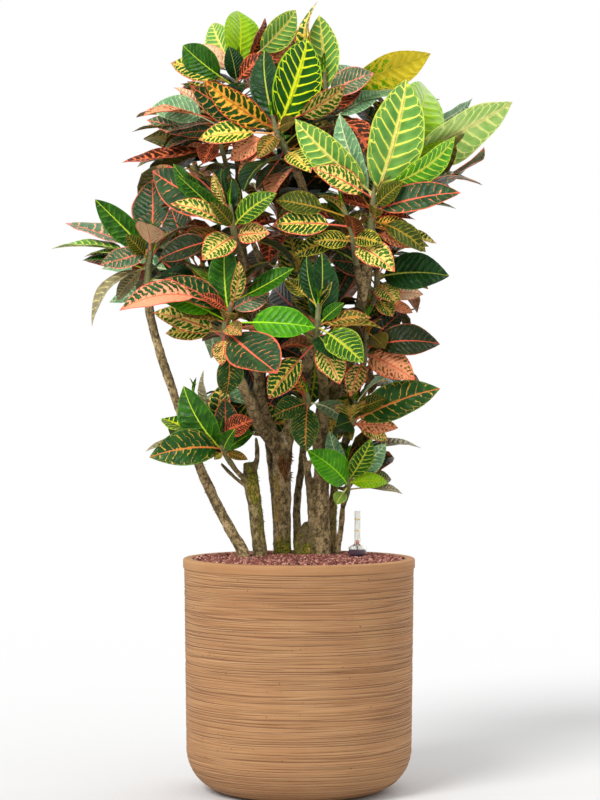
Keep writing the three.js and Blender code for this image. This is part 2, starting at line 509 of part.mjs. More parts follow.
// Half the blade's width: nothing more than the petiole's at its base, a point at its tip.
function halfWidth(leaf, share) {
  const blade = Math.max(0, (share - leaf.petiole) / (1 - leaf.petiole));
  const outline = 2.819 * Math.pow(blade, 0.7) * Math.pow(1 - blade, 0.8);
  return PETIOLE_WIDTH / 2 * (1 - blade) + (leaf.width - PETIOLE_WIDTH) / 2 * outline;
}

// The section of a leaf at a share of its length: its right edge, rib and left edge.
function section(leaf, share, extra = 0) {
  const turn = leaf.twist * (share - 0.3);
  const side = plus(times(leaf.side, Math.cos(turn)), times(leaf.normal, Math.sin(turn)));
  const normal = plus(times(leaf.normal, Math.cos(turn)), times(leaf.side, -Math.sin(turn)));
  const half = halfWidth(leaf, share) + extra;
  const middle = midrib(leaf, share);
  const raised = plus(middle, times(normal, half * Math.sin(BLADE_FOLD)));
  const out = times(side, half * Math.cos(BLADE_FOLD));
  return { right: plus(raised, out), middle, left: minus(raised, out), normal };
}

function stationsOf(leaf) {
  const stations = leaf.width > WIDE_BLADE ? WIDE_STATIONS : NARROW_STATIONS;
  return [0, ...stations].map((share) => leaf.petiole + share * (1 - leaf.petiole));
}

function leafBody(leaf) {
  const rings = [0, ...stationsOf(leaf)].map((share) => {
    const { right, middle, left, normal } = section(leaf, share);
    const thickness = share > leaf.petiole ? RIB_THICKNESS : PETIOLE_THICKNESS;
    const half = times(normal, thickness / 2);
    return [right, plus(middle, half), left, minus(middle, half)];
  });
  return loft(rings, midrib(leaf, 1));
}

// ---- Keeping leaves of two shoots clear of each other and of the stems ----
// A guard holds wires along a leaf or stem, with posts through its faces, and the sheet of those faces.
function boxed(guard) {
  const points = guard.wires.flat().concat(guard.sheet.flat());
  guard.low = [0, 1, 2].map((axis) => Math.min(...points.map((point) => point[axis])));
  guard.high = [0, 1, 2].map((axis) => Math.max(...points.map((point) => point[axis])));
  return guard;
}

function leafGuard(leaf, shares) {
  const rows = shares.map((share) => section(leaf, share, CLEARANCE / 2));
  const tip = plus(midrib(leaf, 1), times(leaf.along, CLEARANCE));
  const end = { right: tip, middle: tip, left: tip, normal: rows.at(-1).normal };
  const wires = [];
  const sheet = [];
  [...rows, end].forEach((row, index) => {
    for (const place of [row.right, row.middle, row.left]) {
      const post = times(row.normal, CLEARANCE);
      wires.push([minus(place, post), plus(place, post)]);
    }
    if (index === 0) return;
    const before = rows[index - 1];
    for (const key of ['right', 'middle', 'left']) wires.push([before[key], row[key]]);
    for (const key of ['right', 'left']) {
      wires.push([row.middle, row[key]]);
      sheet.push([before.middle, before[key], row[key]], [before.middle, row[key], row.middle]);
    }
  });
  return boxed({ wires, sheet });
}

function stemGuard(places, ways, widths) {
  const wires = [];
  const sheet = [];
  const rings = places.map((place, index) => ring(place, ways[index], widths[index] + 2 * CLEARANCE, 6));
  for (let index = 1; index < places.length; index += 1) {
    wires.push([places[index - 1], places[index]]);
    for (let side = 0; side < 6; side += 1) {
      const next = (side + 1) % 6;
      wires.push([rings[index - 1][side], rings[index][side]]);
      sheet.push([rings[index - 1][side], rings[index - 1][next], rings[index][next]],
        [rings[index - 1][side], rings[index][next], rings[index][side]]);
    }
  }
  return boxed({ wires, sheet });
}

function pierces([start, end], [a, b, c]) {
  const way = minus(end, start);
  const [edge, other, from] = [minus(b, a), minus(c, a), minus(start, a)];
  const wayCross = cross(way, other);
  const scale = dot(edge, wayCross);
  if (Math.abs(scale) < 1e-9) return false;
  const fromCross = cross(from, edge);
  const [u, v, t] = [dot(from, wayCross) / scale, dot(way, fromCross) / scale, dot(other, fromCross) / scale];
  return u >= 0 && v >= 0 && u + v <= 1 && t >= 0 && t <= 1;
}

function meet(one, two) {
  const apart = [0, 1, 2].some((axis) => one.low[axis] > two.high[axis] || two.low[axis] > one.high[axis]);
  if (apart) return false;
  return one.wires.some((wire) => two.sheet.some((face) => pierces(wire, face)))
    || two.wires.some((wire) => one.sheet.some((face) => pierces(wire, face)));
}

// Everything that is in place: its guard, the shoot it belongs to, and a leaf's guard without its petiole,
// which keeps the blades of one shoot out of each other where there is room.
const placed = [];

function isClear(leaf, shoot, apart) {
  const guard = leafGuard(leaf, [leaf.petiole * 0.5, ...stationsOf(leaf)]);
  const blade = leafGuard(leaf, stationsOf(leaf));
  const blocked = placed.some((other) => {
    if (other.shoot !== shoot) return meet(guard, other.guard);
    return apart && other.blade !== undefined && meet(blade, other.blade);
  });
  if (!blocked) placed.push({ shoot, guard, blade });
  return !blocked;
}

// ---- Placing the leaves ----
const shoots = new Map();
const shownPlaces = []; // along the leaves read from the front

function coreOf(stem) {
  const { places, widths, ways, end } = lineOf(stem);
  const line = places.slice(end);
  const start = plus(line[0], times(unit(minus(line[1], line[0])), CORE_SOCKET));
  return { line: [start, ...line.slice(1)], widths: widths.slice(end), ways: ways.slice(end) };
}

// How far up a core its nearest point to a place is.
function nearestShare(line, place) {
  const shares = Array.from({ length: 21 }, (_, step) => step / 20);
  const distances = shares.map((share) => span(pointAt(line, share), place));
  return shares[distances.indexOf(Math.min(...distances))];
}

function pointAt(line, share) {
  const reach = share * (line.length - 1);
  const index = Math.min(line.length - 2, Math.floor(reach));
  return between(line[index], line[index + 1], reach - index);
}

// A leaf read from the front: as long as its width asks, so what shows shorter leans to the front or back,
// and turned about its midrib where it shows narrower.
function readLeaf(core, row, index, shift) {
  const [showX, showZ, tipX, tipZ, width, lean = 0, arch = BLADE_ARCH] = row;
  const show = seen(showX, showZ, core.line[1][1]);
  const golden = (index * GOLDEN_SHARE) % 1;
  const root = pointAt(core.line, 0.95 * mixed(golden, nearestShare(core.line, show), NEAREST_WEIGHT));
  const flat = seen(tipX, tipZ, root[1]);
  const shown = span(root, flat);
  const full = LENGTH_TO_WIDTH * width;
  const reach = Math.max(0.35 * shown, Math.sqrt(Math.max(0, full * full - shown * shown)));
  const tip = seen(tipX, tipZ, root[1] + lean * reach + shift);
  const along = unit(minus(tip, root));
  const outwards = unit([tip[0] - root[0], -30, 60]);
  let side = unit([-along[2], 0, along[0]]);
  if (dot(cross(along, side), [0, -0.8, 0.6]) < 0) side = times(side, -1);
  const normal = cross(along, side);
  const cosine = Math.min(Math.cos(BLADE_TURN), width / (NARROWEST * span(root, tip)));
  const sine = Math.sqrt(1 - cosine * cosine) * (dot(side, outwards) > 0 ? -1 : 1);
  const turnedSide = plus(times(side, cosine), times(normal, sine));
  const petiole = clamp(0.7 * span(root, show) / span(root, tip), 0.1, 0.35);
  return makeLeaf(root, tip, turnedSide, width / cosine, petiole, arch, 0.25 * lean);
}

// Where a place shows from the front, and how deep it lies.
function fromFront(place) {
  const scale = EYE_DISTANCE / (EYE_DISTANCE + place[1]);
  return [place[0] * scale, EYE_HEIGHT + (place[2] - EYE_HEIGHT) * scale, place[1]];
}

function insideCrown(place) {
  const [x, z] = fromFront(place);
  let inside = false;
  CROWN.forEach(([x1, z1], index) => {
    const [x0, z0] = CROWN[(index + CROWN.length - 1) % CROWN.length];
    if ((z0 > z) !== (z1 > z) && x < x0 + (x1 - x0) * (z - z0) / (z1 - z0)) inside = !inside;
  });
  return inside;
}

// Whether a leaf's rib, edges and tip lie within the crown's outline.
function staysInside(leaf) {
  const edges = INSIDE_SHARES.flatMap((share) => {
    const { right, middle, left } = section(leaf, share);
    return [right, middle, left];
  });
  return [...edges, midrib(leaf, 1)].every(insideCrown);
}

// Whether a leaf would lie before one that shows from the front.
function covers(leaf) {
  return COVER_SHARES.some((share) => {
    const [x, z, depth] = fromFront(midrib(leaf, share));
    const isBefore = (shown) => depth < shown.depth && Math.hypot(x - shown.x, z - shown.z) < shown.half;
    return shownPlaces.some(isBefore);
  });
}

// A leaf that the front hides, by rule: round the core by the golden share, the lower the more it hangs.
function hiddenLeaf(core, plan, index, chance, [swing, lift], scale) {
  const [count, towards, spread] = plan;
  const height = (index + 0.5) / count;
  const [low, high] = HIDDEN_RISE;
  const swept = ((index * GOLDEN_SHARE) % 1 - 0.5) * spread;
  const azimuth = radians(towards + swept + (chance[0] - 0.5) * 24 + swing);
  const rise = radians(low + (high - low) * height + (chance[1] - 0.5) * 24 + lift);
  const full = HIDDEN_LENGTH[0] + (HIDDEN_LENGTH[1] - HIDDEN_LENGTH[0]) * chance[2];
  const length = full * scale * (1 - 0.25 * height);
  const width = length * (HIDDEN_WIDTH[0] + (HIDDEN_WIDTH[1] - HIDDEN_WIDTH[0]) * chance[3]);
  const along = [Math.cos(rise) * Math.cos(azimuth), Math.cos(rise) * Math.sin(azimuth), Math.sin(rise)];
  const level = [Math.sin(azimuth), -Math.cos(azimuth), 0];
  const normal = cross(along, level).map((value) => -value);
  const turn = (chance[4] - 0.5) * 0.9;
  const side = plus(times(level, -Math.cos(turn)), times(normal, Math.sin(turn)));
  const root = pointAt(core.line, 0.05 + 0.9 * height);
  const petiole = 0.12 + 0.12 * chance[5];
  return makeLeaf(root, plus(root, times(along, length)), side, width, petiole, HIDDEN_ARCH, 0.3 * turn);
}

// The first of some leaves that is clear grows on the shoot, apart from its other blades if it can be.
function place(shoot, candidates) {
  for (const apart of [true, false]) {
    const found = candidates.find((leaf) => isClear(leaf, shoot.name, apart));
    if (found) {
      shoot.leaves.push(found);
      return found;
    }
  }
  return undefined;
}

function placeRead(shoot, row, index) {
  const steps = Array.from({ length: 2 * DEPTH_TRIES + 1 }, (_, attempt) => (
    Math.ceil(attempt / 2) * (attempt % 2 ? 1 : -1)));
  const leaf = place(shoot, steps.map((step) => readLeaf(shoot.core, row, index, step * DEPTH_STEP)));
  if (!leaf) return;
  for (const share of SHOWN_SHARES) {
    const [x, z, depth] = fromFront(midrib(leaf, share));
    shownPlaces.push({ x, z, depth, half: halfWidth(leaf, share) });
  }
}

function placeHidden(shoot, index, chance) {
  const candidates = HIDDEN_SCALES.flatMap((scale) => HIDDEN_TRIES.map((change) => (
    hiddenLeaf(shoot.core, HIDDEN_LEAVES[shoot.name], index, chance, change, scale))));
  place(shoot, candidates.filter((leaf) => staysInside(leaf) && !covers(leaf)));
}

function growShoots() {
  for (const stem of STEMS) {
    const { places, widths, ways, end } = lineOf(stem);
    const [woodPlaces, woodWays, woodWidths] = [places, ways, widths].map((list) => list.slice(0, end + 1));
    placed.push({ guard: stemGuard(woodPlaces, woodWays, woodWidths) });
    if (!stem.shoot) continue;
    const core = coreOf(stem);
    placed.push({ shoot: stem.shoot, guard: stemGuard(places.slice(end), core.ways, core.widths) });
    shoots.set(stem.shoot, { name: stem.shoot, stem, core, leaves: [] });
  }
  for (const [name, rows] of Object.entries(LEAVES)) {
    rows.forEach((row, index) => placeRead(shoots.get(name), row, index));
  }
  const draw = draws(20260);
  for (const [name, plan] of Object.entries(HIDDEN_LEAVES)) {
    for (let index = 0; index < plan[0]; index += 1) {
      const chance = Array.from({ length: 6 }, () => draw());
      placeHidden(shoots.get(name), index, chance);
    }
  }
}

function makeShoots() {
  let number = 0;
  for (const { name, stem, leaves } of shoots.values()) {
    const body = wasm.Manifold.union([coreBody(stem), ...leaves.map(leafBody)]);
    addMesh(name, geometryOf(body), FOLIAGE[number % FOLIAGE.length], 0.45);
    number += 1;
  }
}

function makeTrunks() {
  for (const [name, colour] of Object.entries(BARK)) {
    const stems = STEMS.filter((stem) => stem.trunk === name);
    addMesh(name, geometryOf(wasm.Manifold.union(stems.map((stem) => stemBody(stem)))), colour, 0.9);
  }
}

// ---- Water gauge ----
function placeGauge(mesh) {
  mesh.position.set(GAUGE_X, GAUGE_Y, 0);
}

function makeGauge() {
  const [outer, inner] = [GAUGE_TUBE_RADIUS, GAUGE_TUBE_RADIUS - GAUGE_GLASS];
  const bulb = GAUGE_BULB_RADIUS;
  const clearTube = [
    [bulb - GAUGE_GLASS, GAUGE_BULB_BOTTOM], [bulb, GAUGE_BULB_BOTTOM], [bulb, GAUGE_BULB_BOTTOM + 2],
    [outer, GAUGE_NECK], [outer, GAUGE_TOP - GAUGE_TOP_EDGE], [outer - GAUGE_TOP_EDGE, GAUGE_TOP],
    [0, GAUGE_TOP], [0, GAUGE_TOP - GAUGE_GLASS], [inner, GAUGE_TOP - GAUGE_GLASS],
    [inner, GAUGE_NECK], [bulb - GAUGE_GLASS, GAUGE_BULB_BOTTOM + 1.5],
  ];
  placeGauge(addMesh('gauge_clear_tube', turned([...clearTube, clearTube[0]], GAUGE_SEGMENTS), CLEAR, 0.1));

  const [shaft, bore] = [GAUGE_SHAFT_RADIUS, GAUGE_SHAFT_RADIUS - GAUGE_SHAFT_WALL];
  const flangeTop = GAUGE_BULB_BOTTOM - GAP;
  const collar = [
    [bore, GAUGE_SHAFT_BOTTOM], [shaft, GAUGE_SHAFT_BOTTOM], [shaft, GAUGE_FLANGE_BOTTOM],
    [bulb, GAUGE_FLANGE_BOTTOM], [bulb, flangeTop], [bore, flangeTop],
  ];
  placeGauge(addMesh('gauge_shaft', turned([...collar, collar[0]], GAUGE_SEGMENTS), DARK_PLASTIC, 0.5));

  const [floatLow, floatHigh] = GAUGE_FLOAT;
  const [beadLow, beadHigh] = GAUGE_BEAD;
  const float = [
    [0, floatLow], [GAUGE_FLOAT_RADIUS, floatLow], [GAUGE_FLOAT_RADIUS, floatHigh],
    [GAUGE_PIN_RADIUS, floatHigh], [GAUGE_PIN_RADIUS, beadLow], [GAUGE_BEAD_RADIUS, beadLow],
    [GAUGE_BEAD_RADIUS, beadHigh], [0, beadHigh],
  ];
  placeGauge(addMesh('gauge_float', turned(float, GAUGE_SEGMENTS), RED_PLASTIC, 0.4));
}

// ---- Clay granules ----
// One body that fills the pot, with the pellets of its surface as relief and a plain hole for each trunk
// and for the gauge.
function makeGranules() {
  const draw = draws(77);
  const points = [[0, 0, GRANULE_TOP + GRANULE_RELIEF]];
  const faces = [];
  const first = (count) => 1 + 3 * count * (count - 1);
  const inside = (radius) => radius * Math.cos(Math.PI / POT_SEGMENTS) - GAP; // of the pot's flat facets
  const topRadius = inside(innerRadius(GRANULE_TOP));
  for (let count = 1; count <= GRANULE_RINGS; count += 1) {
    for (let step = 0; step < 6 * count; step += 1) {
      const angle = 2 * Math.PI * step / (6 * count);
      const rim = count === GRANULE_RINGS;
      const radius = topRadius * (count + (rim ? 0 : (draw() - 0.5) * 0.4)) / GRANULE_RINGS;
      const relief = rim ? 0 : GRANULE_RELIEF * draw();
      points.push([radius * Math.cos(angle), radius * Math.sin(angle), GRANULE_TOP + relief]);
    }
    for (let sector = 0; sector < 6; sector += 1) {
      for (let step = 0; step < count; step += 1) {
        const out = first(count) + (sector * count + step) % (6 * count);
        const outNext = first(count) + (sector * count + step + 1) % (6 * count);
        const within = count === 1 ? 0 : first(count - 1) + (sector * (count - 1) + step) % (6 * (count - 1));
        faces.push([out, outNext, within]);
        if (step < count - 1) {
          const withinNext = first(count - 1) + (sector * (count - 1) + step + 1) % (6 * (count - 1));
          faces.push([within, outNext, withinNext]);
        }
      }
    }
  }
  const sides = 6 * GRANULE_RINGS;
  let above = first(GRANULE_RINGS);
  for (const [radius, z] of innerBottom()) {
    const below = points.length;
    for (let step = 0; step < sides; step += 1) {
      const angle = 2 * Math.PI * step / sides;
      points.push([inside(radius) * Math.cos(angle), inside(radius) * Math.sin(angle), z + GAP]);
      const next = (step + 1) % sides;
      faces.push([above + step, below + step, below + next], [above + step, below + next, above + next]);
    }
    above = below;
  }
  for (let step = 1; step + 1 < sides; step += 1) faces.push([above, above + step + 1, above + step]);
  const bed = solid(points.flat(), faces.flat());

  const holes = STEMS.filter(rooted).map((stem) => stemBody(stem, 2 * HOLE_GAP));
  const bottom = GAUGE_SHAFT_BOTTOM - GAP;
  const bulb = GAUGE_BULB_RADIUS + HOLE_GAP;
  const shaft = GAUGE_SHAFT_RADIUS + HOLE_GAP;
  const hole = turned([[0, bottom], [shaft, bottom], [shaft, GRANULE_TOP - 2], [bulb, GRANULE_TOP - 2],
    [bulb, GAUGE_TOP], [0, GAUGE_TOP]], GAUGE_SEGMENTS).translate(GAUGE_X, GAUGE_Y, 0);
  const body = bed.subtract(wasm.Manifold.union([...holes, solidOf(hole)]));
  addMesh('granules', geometryOf(body), GRANULES, 0.9);
}

makePot();
makeGauge();
makeGranules();
growShoots();
makeTrunks();
makeShoots();

export default part;
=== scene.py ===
# Potted croton: woody trunks whose shoots carry broad, variegated leaves, in a brushed clay-coloured pot
# filled with clay granules, with a water gauge. Metres, +Z up, front towards -Y. The plant is read from its
# front in millimetres, and MM turns those into metres.
import json
import math

import bpy
import numpy as np
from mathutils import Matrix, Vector


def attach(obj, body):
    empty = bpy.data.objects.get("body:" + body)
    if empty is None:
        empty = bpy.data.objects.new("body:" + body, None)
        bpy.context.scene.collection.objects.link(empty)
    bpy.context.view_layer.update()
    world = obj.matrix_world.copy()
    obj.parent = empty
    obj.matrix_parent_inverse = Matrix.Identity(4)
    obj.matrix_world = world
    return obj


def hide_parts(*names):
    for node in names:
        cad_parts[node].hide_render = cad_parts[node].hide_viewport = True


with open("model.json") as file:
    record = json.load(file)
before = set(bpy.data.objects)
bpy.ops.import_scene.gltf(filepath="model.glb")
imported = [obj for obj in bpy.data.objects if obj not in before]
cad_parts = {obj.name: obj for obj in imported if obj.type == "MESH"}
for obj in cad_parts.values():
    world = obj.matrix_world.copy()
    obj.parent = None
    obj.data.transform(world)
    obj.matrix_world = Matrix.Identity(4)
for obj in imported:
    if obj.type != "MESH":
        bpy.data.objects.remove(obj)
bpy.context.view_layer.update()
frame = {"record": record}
bpy.ops.object.select_all(action="DESELECT")

MM = 0.001

# ---- Driving values, with lengths in millimetres ----
POT_RADIUS = 175
POT_HEIGHT = 350
POT_WALL = 13
POT_FLOOR = 14
POT_WAIST_RADIUS = 173.4
POT_LOW_RADIUS = 170
POT_BOTTOM_ROUND = 65
POT_STEPS = 168
RIM_BAND = 15
RIM_EDGE = 3
BAND_ROUND = 1.5
BAND_ROUND_HEIGHT = 1.8
BAND_ROUND_TOP = 7
BROAD_GROOVES = [290, 196]
BROAD_STROKE = [2.4, 0.7]  # half height, depth
STROKE_COUNT = 260
STROKE_LOWEST = 12
STROKE_FADE = [30, 3]  # above the lowest, under the highest
STROKE_HALF = [0.9, 2.0]
STROKE_DEPTH = [0.1, 0.75]
STROKE_BIAS = 1.2
STROKE_SWEEP = [0.3, 2.4]  # each way, radians
BRUSH_LINES = [[5.6, 0.75, 1.0], [3.7, 0.55, 0.7], [9.1, 0.9, 0.9], [2.6, 0.4, 0.45]]  # pitch, width, depth
WALL_PITCH = 1.3

BED_TOP = 345.5
BED_STEPS = 96
PELLET_PITCH = 4.5
PELLET_SIZE = [3.6, 5.0]
PELLET_ROW = 0.866  # from row to row, in pitches
PELLET_LAYERS = [[1.0, 1.0], [1.1, 0.55]]  # pitch against the lowest layer's, share of the places taken
PELLET_LIFT = [1.4, 2.3]  # the lowest layer's middle over the bed, then each layer over the one under it
PELLET_STRAY = [0.8, 0.5]  # sideways, up and down
PELLET_STRETCH = [0.78, 1.15]
PELLET_DENT = 0.1
PELLET_FLATNESS = [1.08, 1.0, 0.9]
STEM_MARGIN = 0.6
# Painted shade: pellets are darkened towards the bed, standing in for the shade in the gaps between them.
PAINTED_GAP_SHADE = 3.4  # how high the dark of the gaps between the pellets reaches

GAUGE_X = 89
GAUGE_Y = 33
GAUGE_TUBE_RADIUS = 4.5
GAUGE_GLASS = 1.1
GAUGE_BULB_RADIUS = 14
GAUGE_SHAFT_RADIUS = 11
GAUGE_SHAFT_WALL = 2
GAUGE_FLANGE_BOTTOM = 352.5
GAUGE_BULB_BOTTOM = 361
GAUGE_NECK = 369
GAUGE_TOP = 419
GAUGE_SHAFT_BOTTOM = 24
GAUGE_FLOAT_RADIUS = 7
GAUGE_FLOAT = [60, 118]
GAUGE_PIN_RADIUS = 1.5
GAUGE_BEAD_RADIUS = 2.7
GAUGE_BEAD = [368.5, 374.5]
GAUGE_MARKS = [389, 406]
MARK_SWEEP = 1.5  # radians
MARK_WIDTH = 1.6
MARK_LIFT = [0.05, 0.3]
GAUGE_STEPS = 48

ROOTING_DEPTH = 118
ROOTED_BELOW = 380
ROOT_TAPER = 0.7
FORK_LAP = 0.12
STEM_SIDES = 12
TRUNK_CELL = 1.9
TRUNK_LUMPS = [[22, 2.6], [6, 1.0]]  # size, height
MOSS_TUFTS = [0.3, [1.6, 4.4], 0.1]  # share of the places that carry one, lengths, rise of the tips
FIBRE_TUFTS = [0.35, [3.0, 7.0], -0.6]
CORE_SOCKET = 8
GAP = 0.3
PETIOLE_WIDTH = 2.6
LENGTH_TO_WIDTH = 2.2
NARROWEST = 0.38
BLADE_TURN = 0.35
BLADE_ARCH = 0.07
BLADE_FOLD = 0.24
BLADE_OUTLINE = [2.819, 0.7, 0.8]  # height, then the powers that shape it from the root and from the tip
TWIST_PIVOT = 0.3
WIDE_BLADE = 37
WIDE_STATIONS = [0.2, 0.5, 0.8]
NARROW_STATIONS = [0.3, 0.7]
CLEARANCE = 2.6
DEPTH_STEP = 13
DEPTH_TRIES = 8
NEAREST_WEIGHT = 0.8
ROOT_REACH = 0.95  # share of a core that leaves are read to grow from
CORE_SHARES = [step / 20 for step in range(21)]
LEAST_LEAN = 0.35
LEAN_TWIST = 0.25
PETIOLE_SHARES = [0.1, 0.35]
PETIOLE_BEFORE_BLADE = 0.7
GOLDEN_SHARE = 0.618034
BLADE_THICKNESS = 0.9
MARGIN_THICKNESS = 0.3
BLADE_BULGE = 0.36 * math.sin(math.pi / 3)
RIPPLE_HEIGHT = [0.012, 0.03]  # in widths
RIPPLE_CYCLES = [1.4, 2.6]
TIP_DROOP = 0.1
LARGE_LEAF = 42
LEAF_GRIDS = {"large": [6, 13], "small": [4, 8], "plain": [4, 5]}
RIB_LEVELS = [0.1, 0.22, 0.36, 0.52, 0.68, 0.84]
BUD_COUNT = 3
BUD_LENGTH = [16, 30]
BUD_SPREAD = 0.32
BUD_SUNK = 3
BUD_WIDTH = 0.3
BUD_SHAPE = [0.12, 0.1, 0.0]  # petiole, arch, twist

# The eye that the plant is read from, which is the camera too: this far in front, this far up.
EYE_DISTANCE = 3444
EYE_HEIGHT = 588
CAMERA_X = 0.0015
LENS = 102.6
SENSOR = 36

# Light: an even sky, and soft lights as [name, energy, softness in degrees, where it comes from].
SKY = 1.0
LIGHTS = [["key", 2.6, 24, [-0.7, -0.9, 1.0]], ["back", 0.9, 50, [0.8, 0.9, 0.7]]]

# Outline of the crown from the front, which no leaf that a rule places reaches past. [x, z]
CROWN = [
    [-225, 505], [-185, 600], [-150, 598], [-122, 612], [-118, 642], [-138, 672], [-215, 718], [-262, 735],
    [-300, 775], [-335, 850], [-300, 885], [-250, 930], [-245, 985], [-215, 1025], [-185, 1062],
    [-160, 1118], [-92, 1168], [0, 1166], [28, 1172], [62, 1100], [110, 1082], [162, 1066], [196, 1098],
    [192, 1062], [300, 1028], [250, 955], [238, 898], [185, 868], [200, 822], [220, 778], [180, 742],
    [205, 680], [170, 628], [205, 606], [150, 552], [130, 524], [176, 515], [135, 468], [62, 445],
    [20, 520], [-50, 560], [-85, 498], [-125, 500],
]

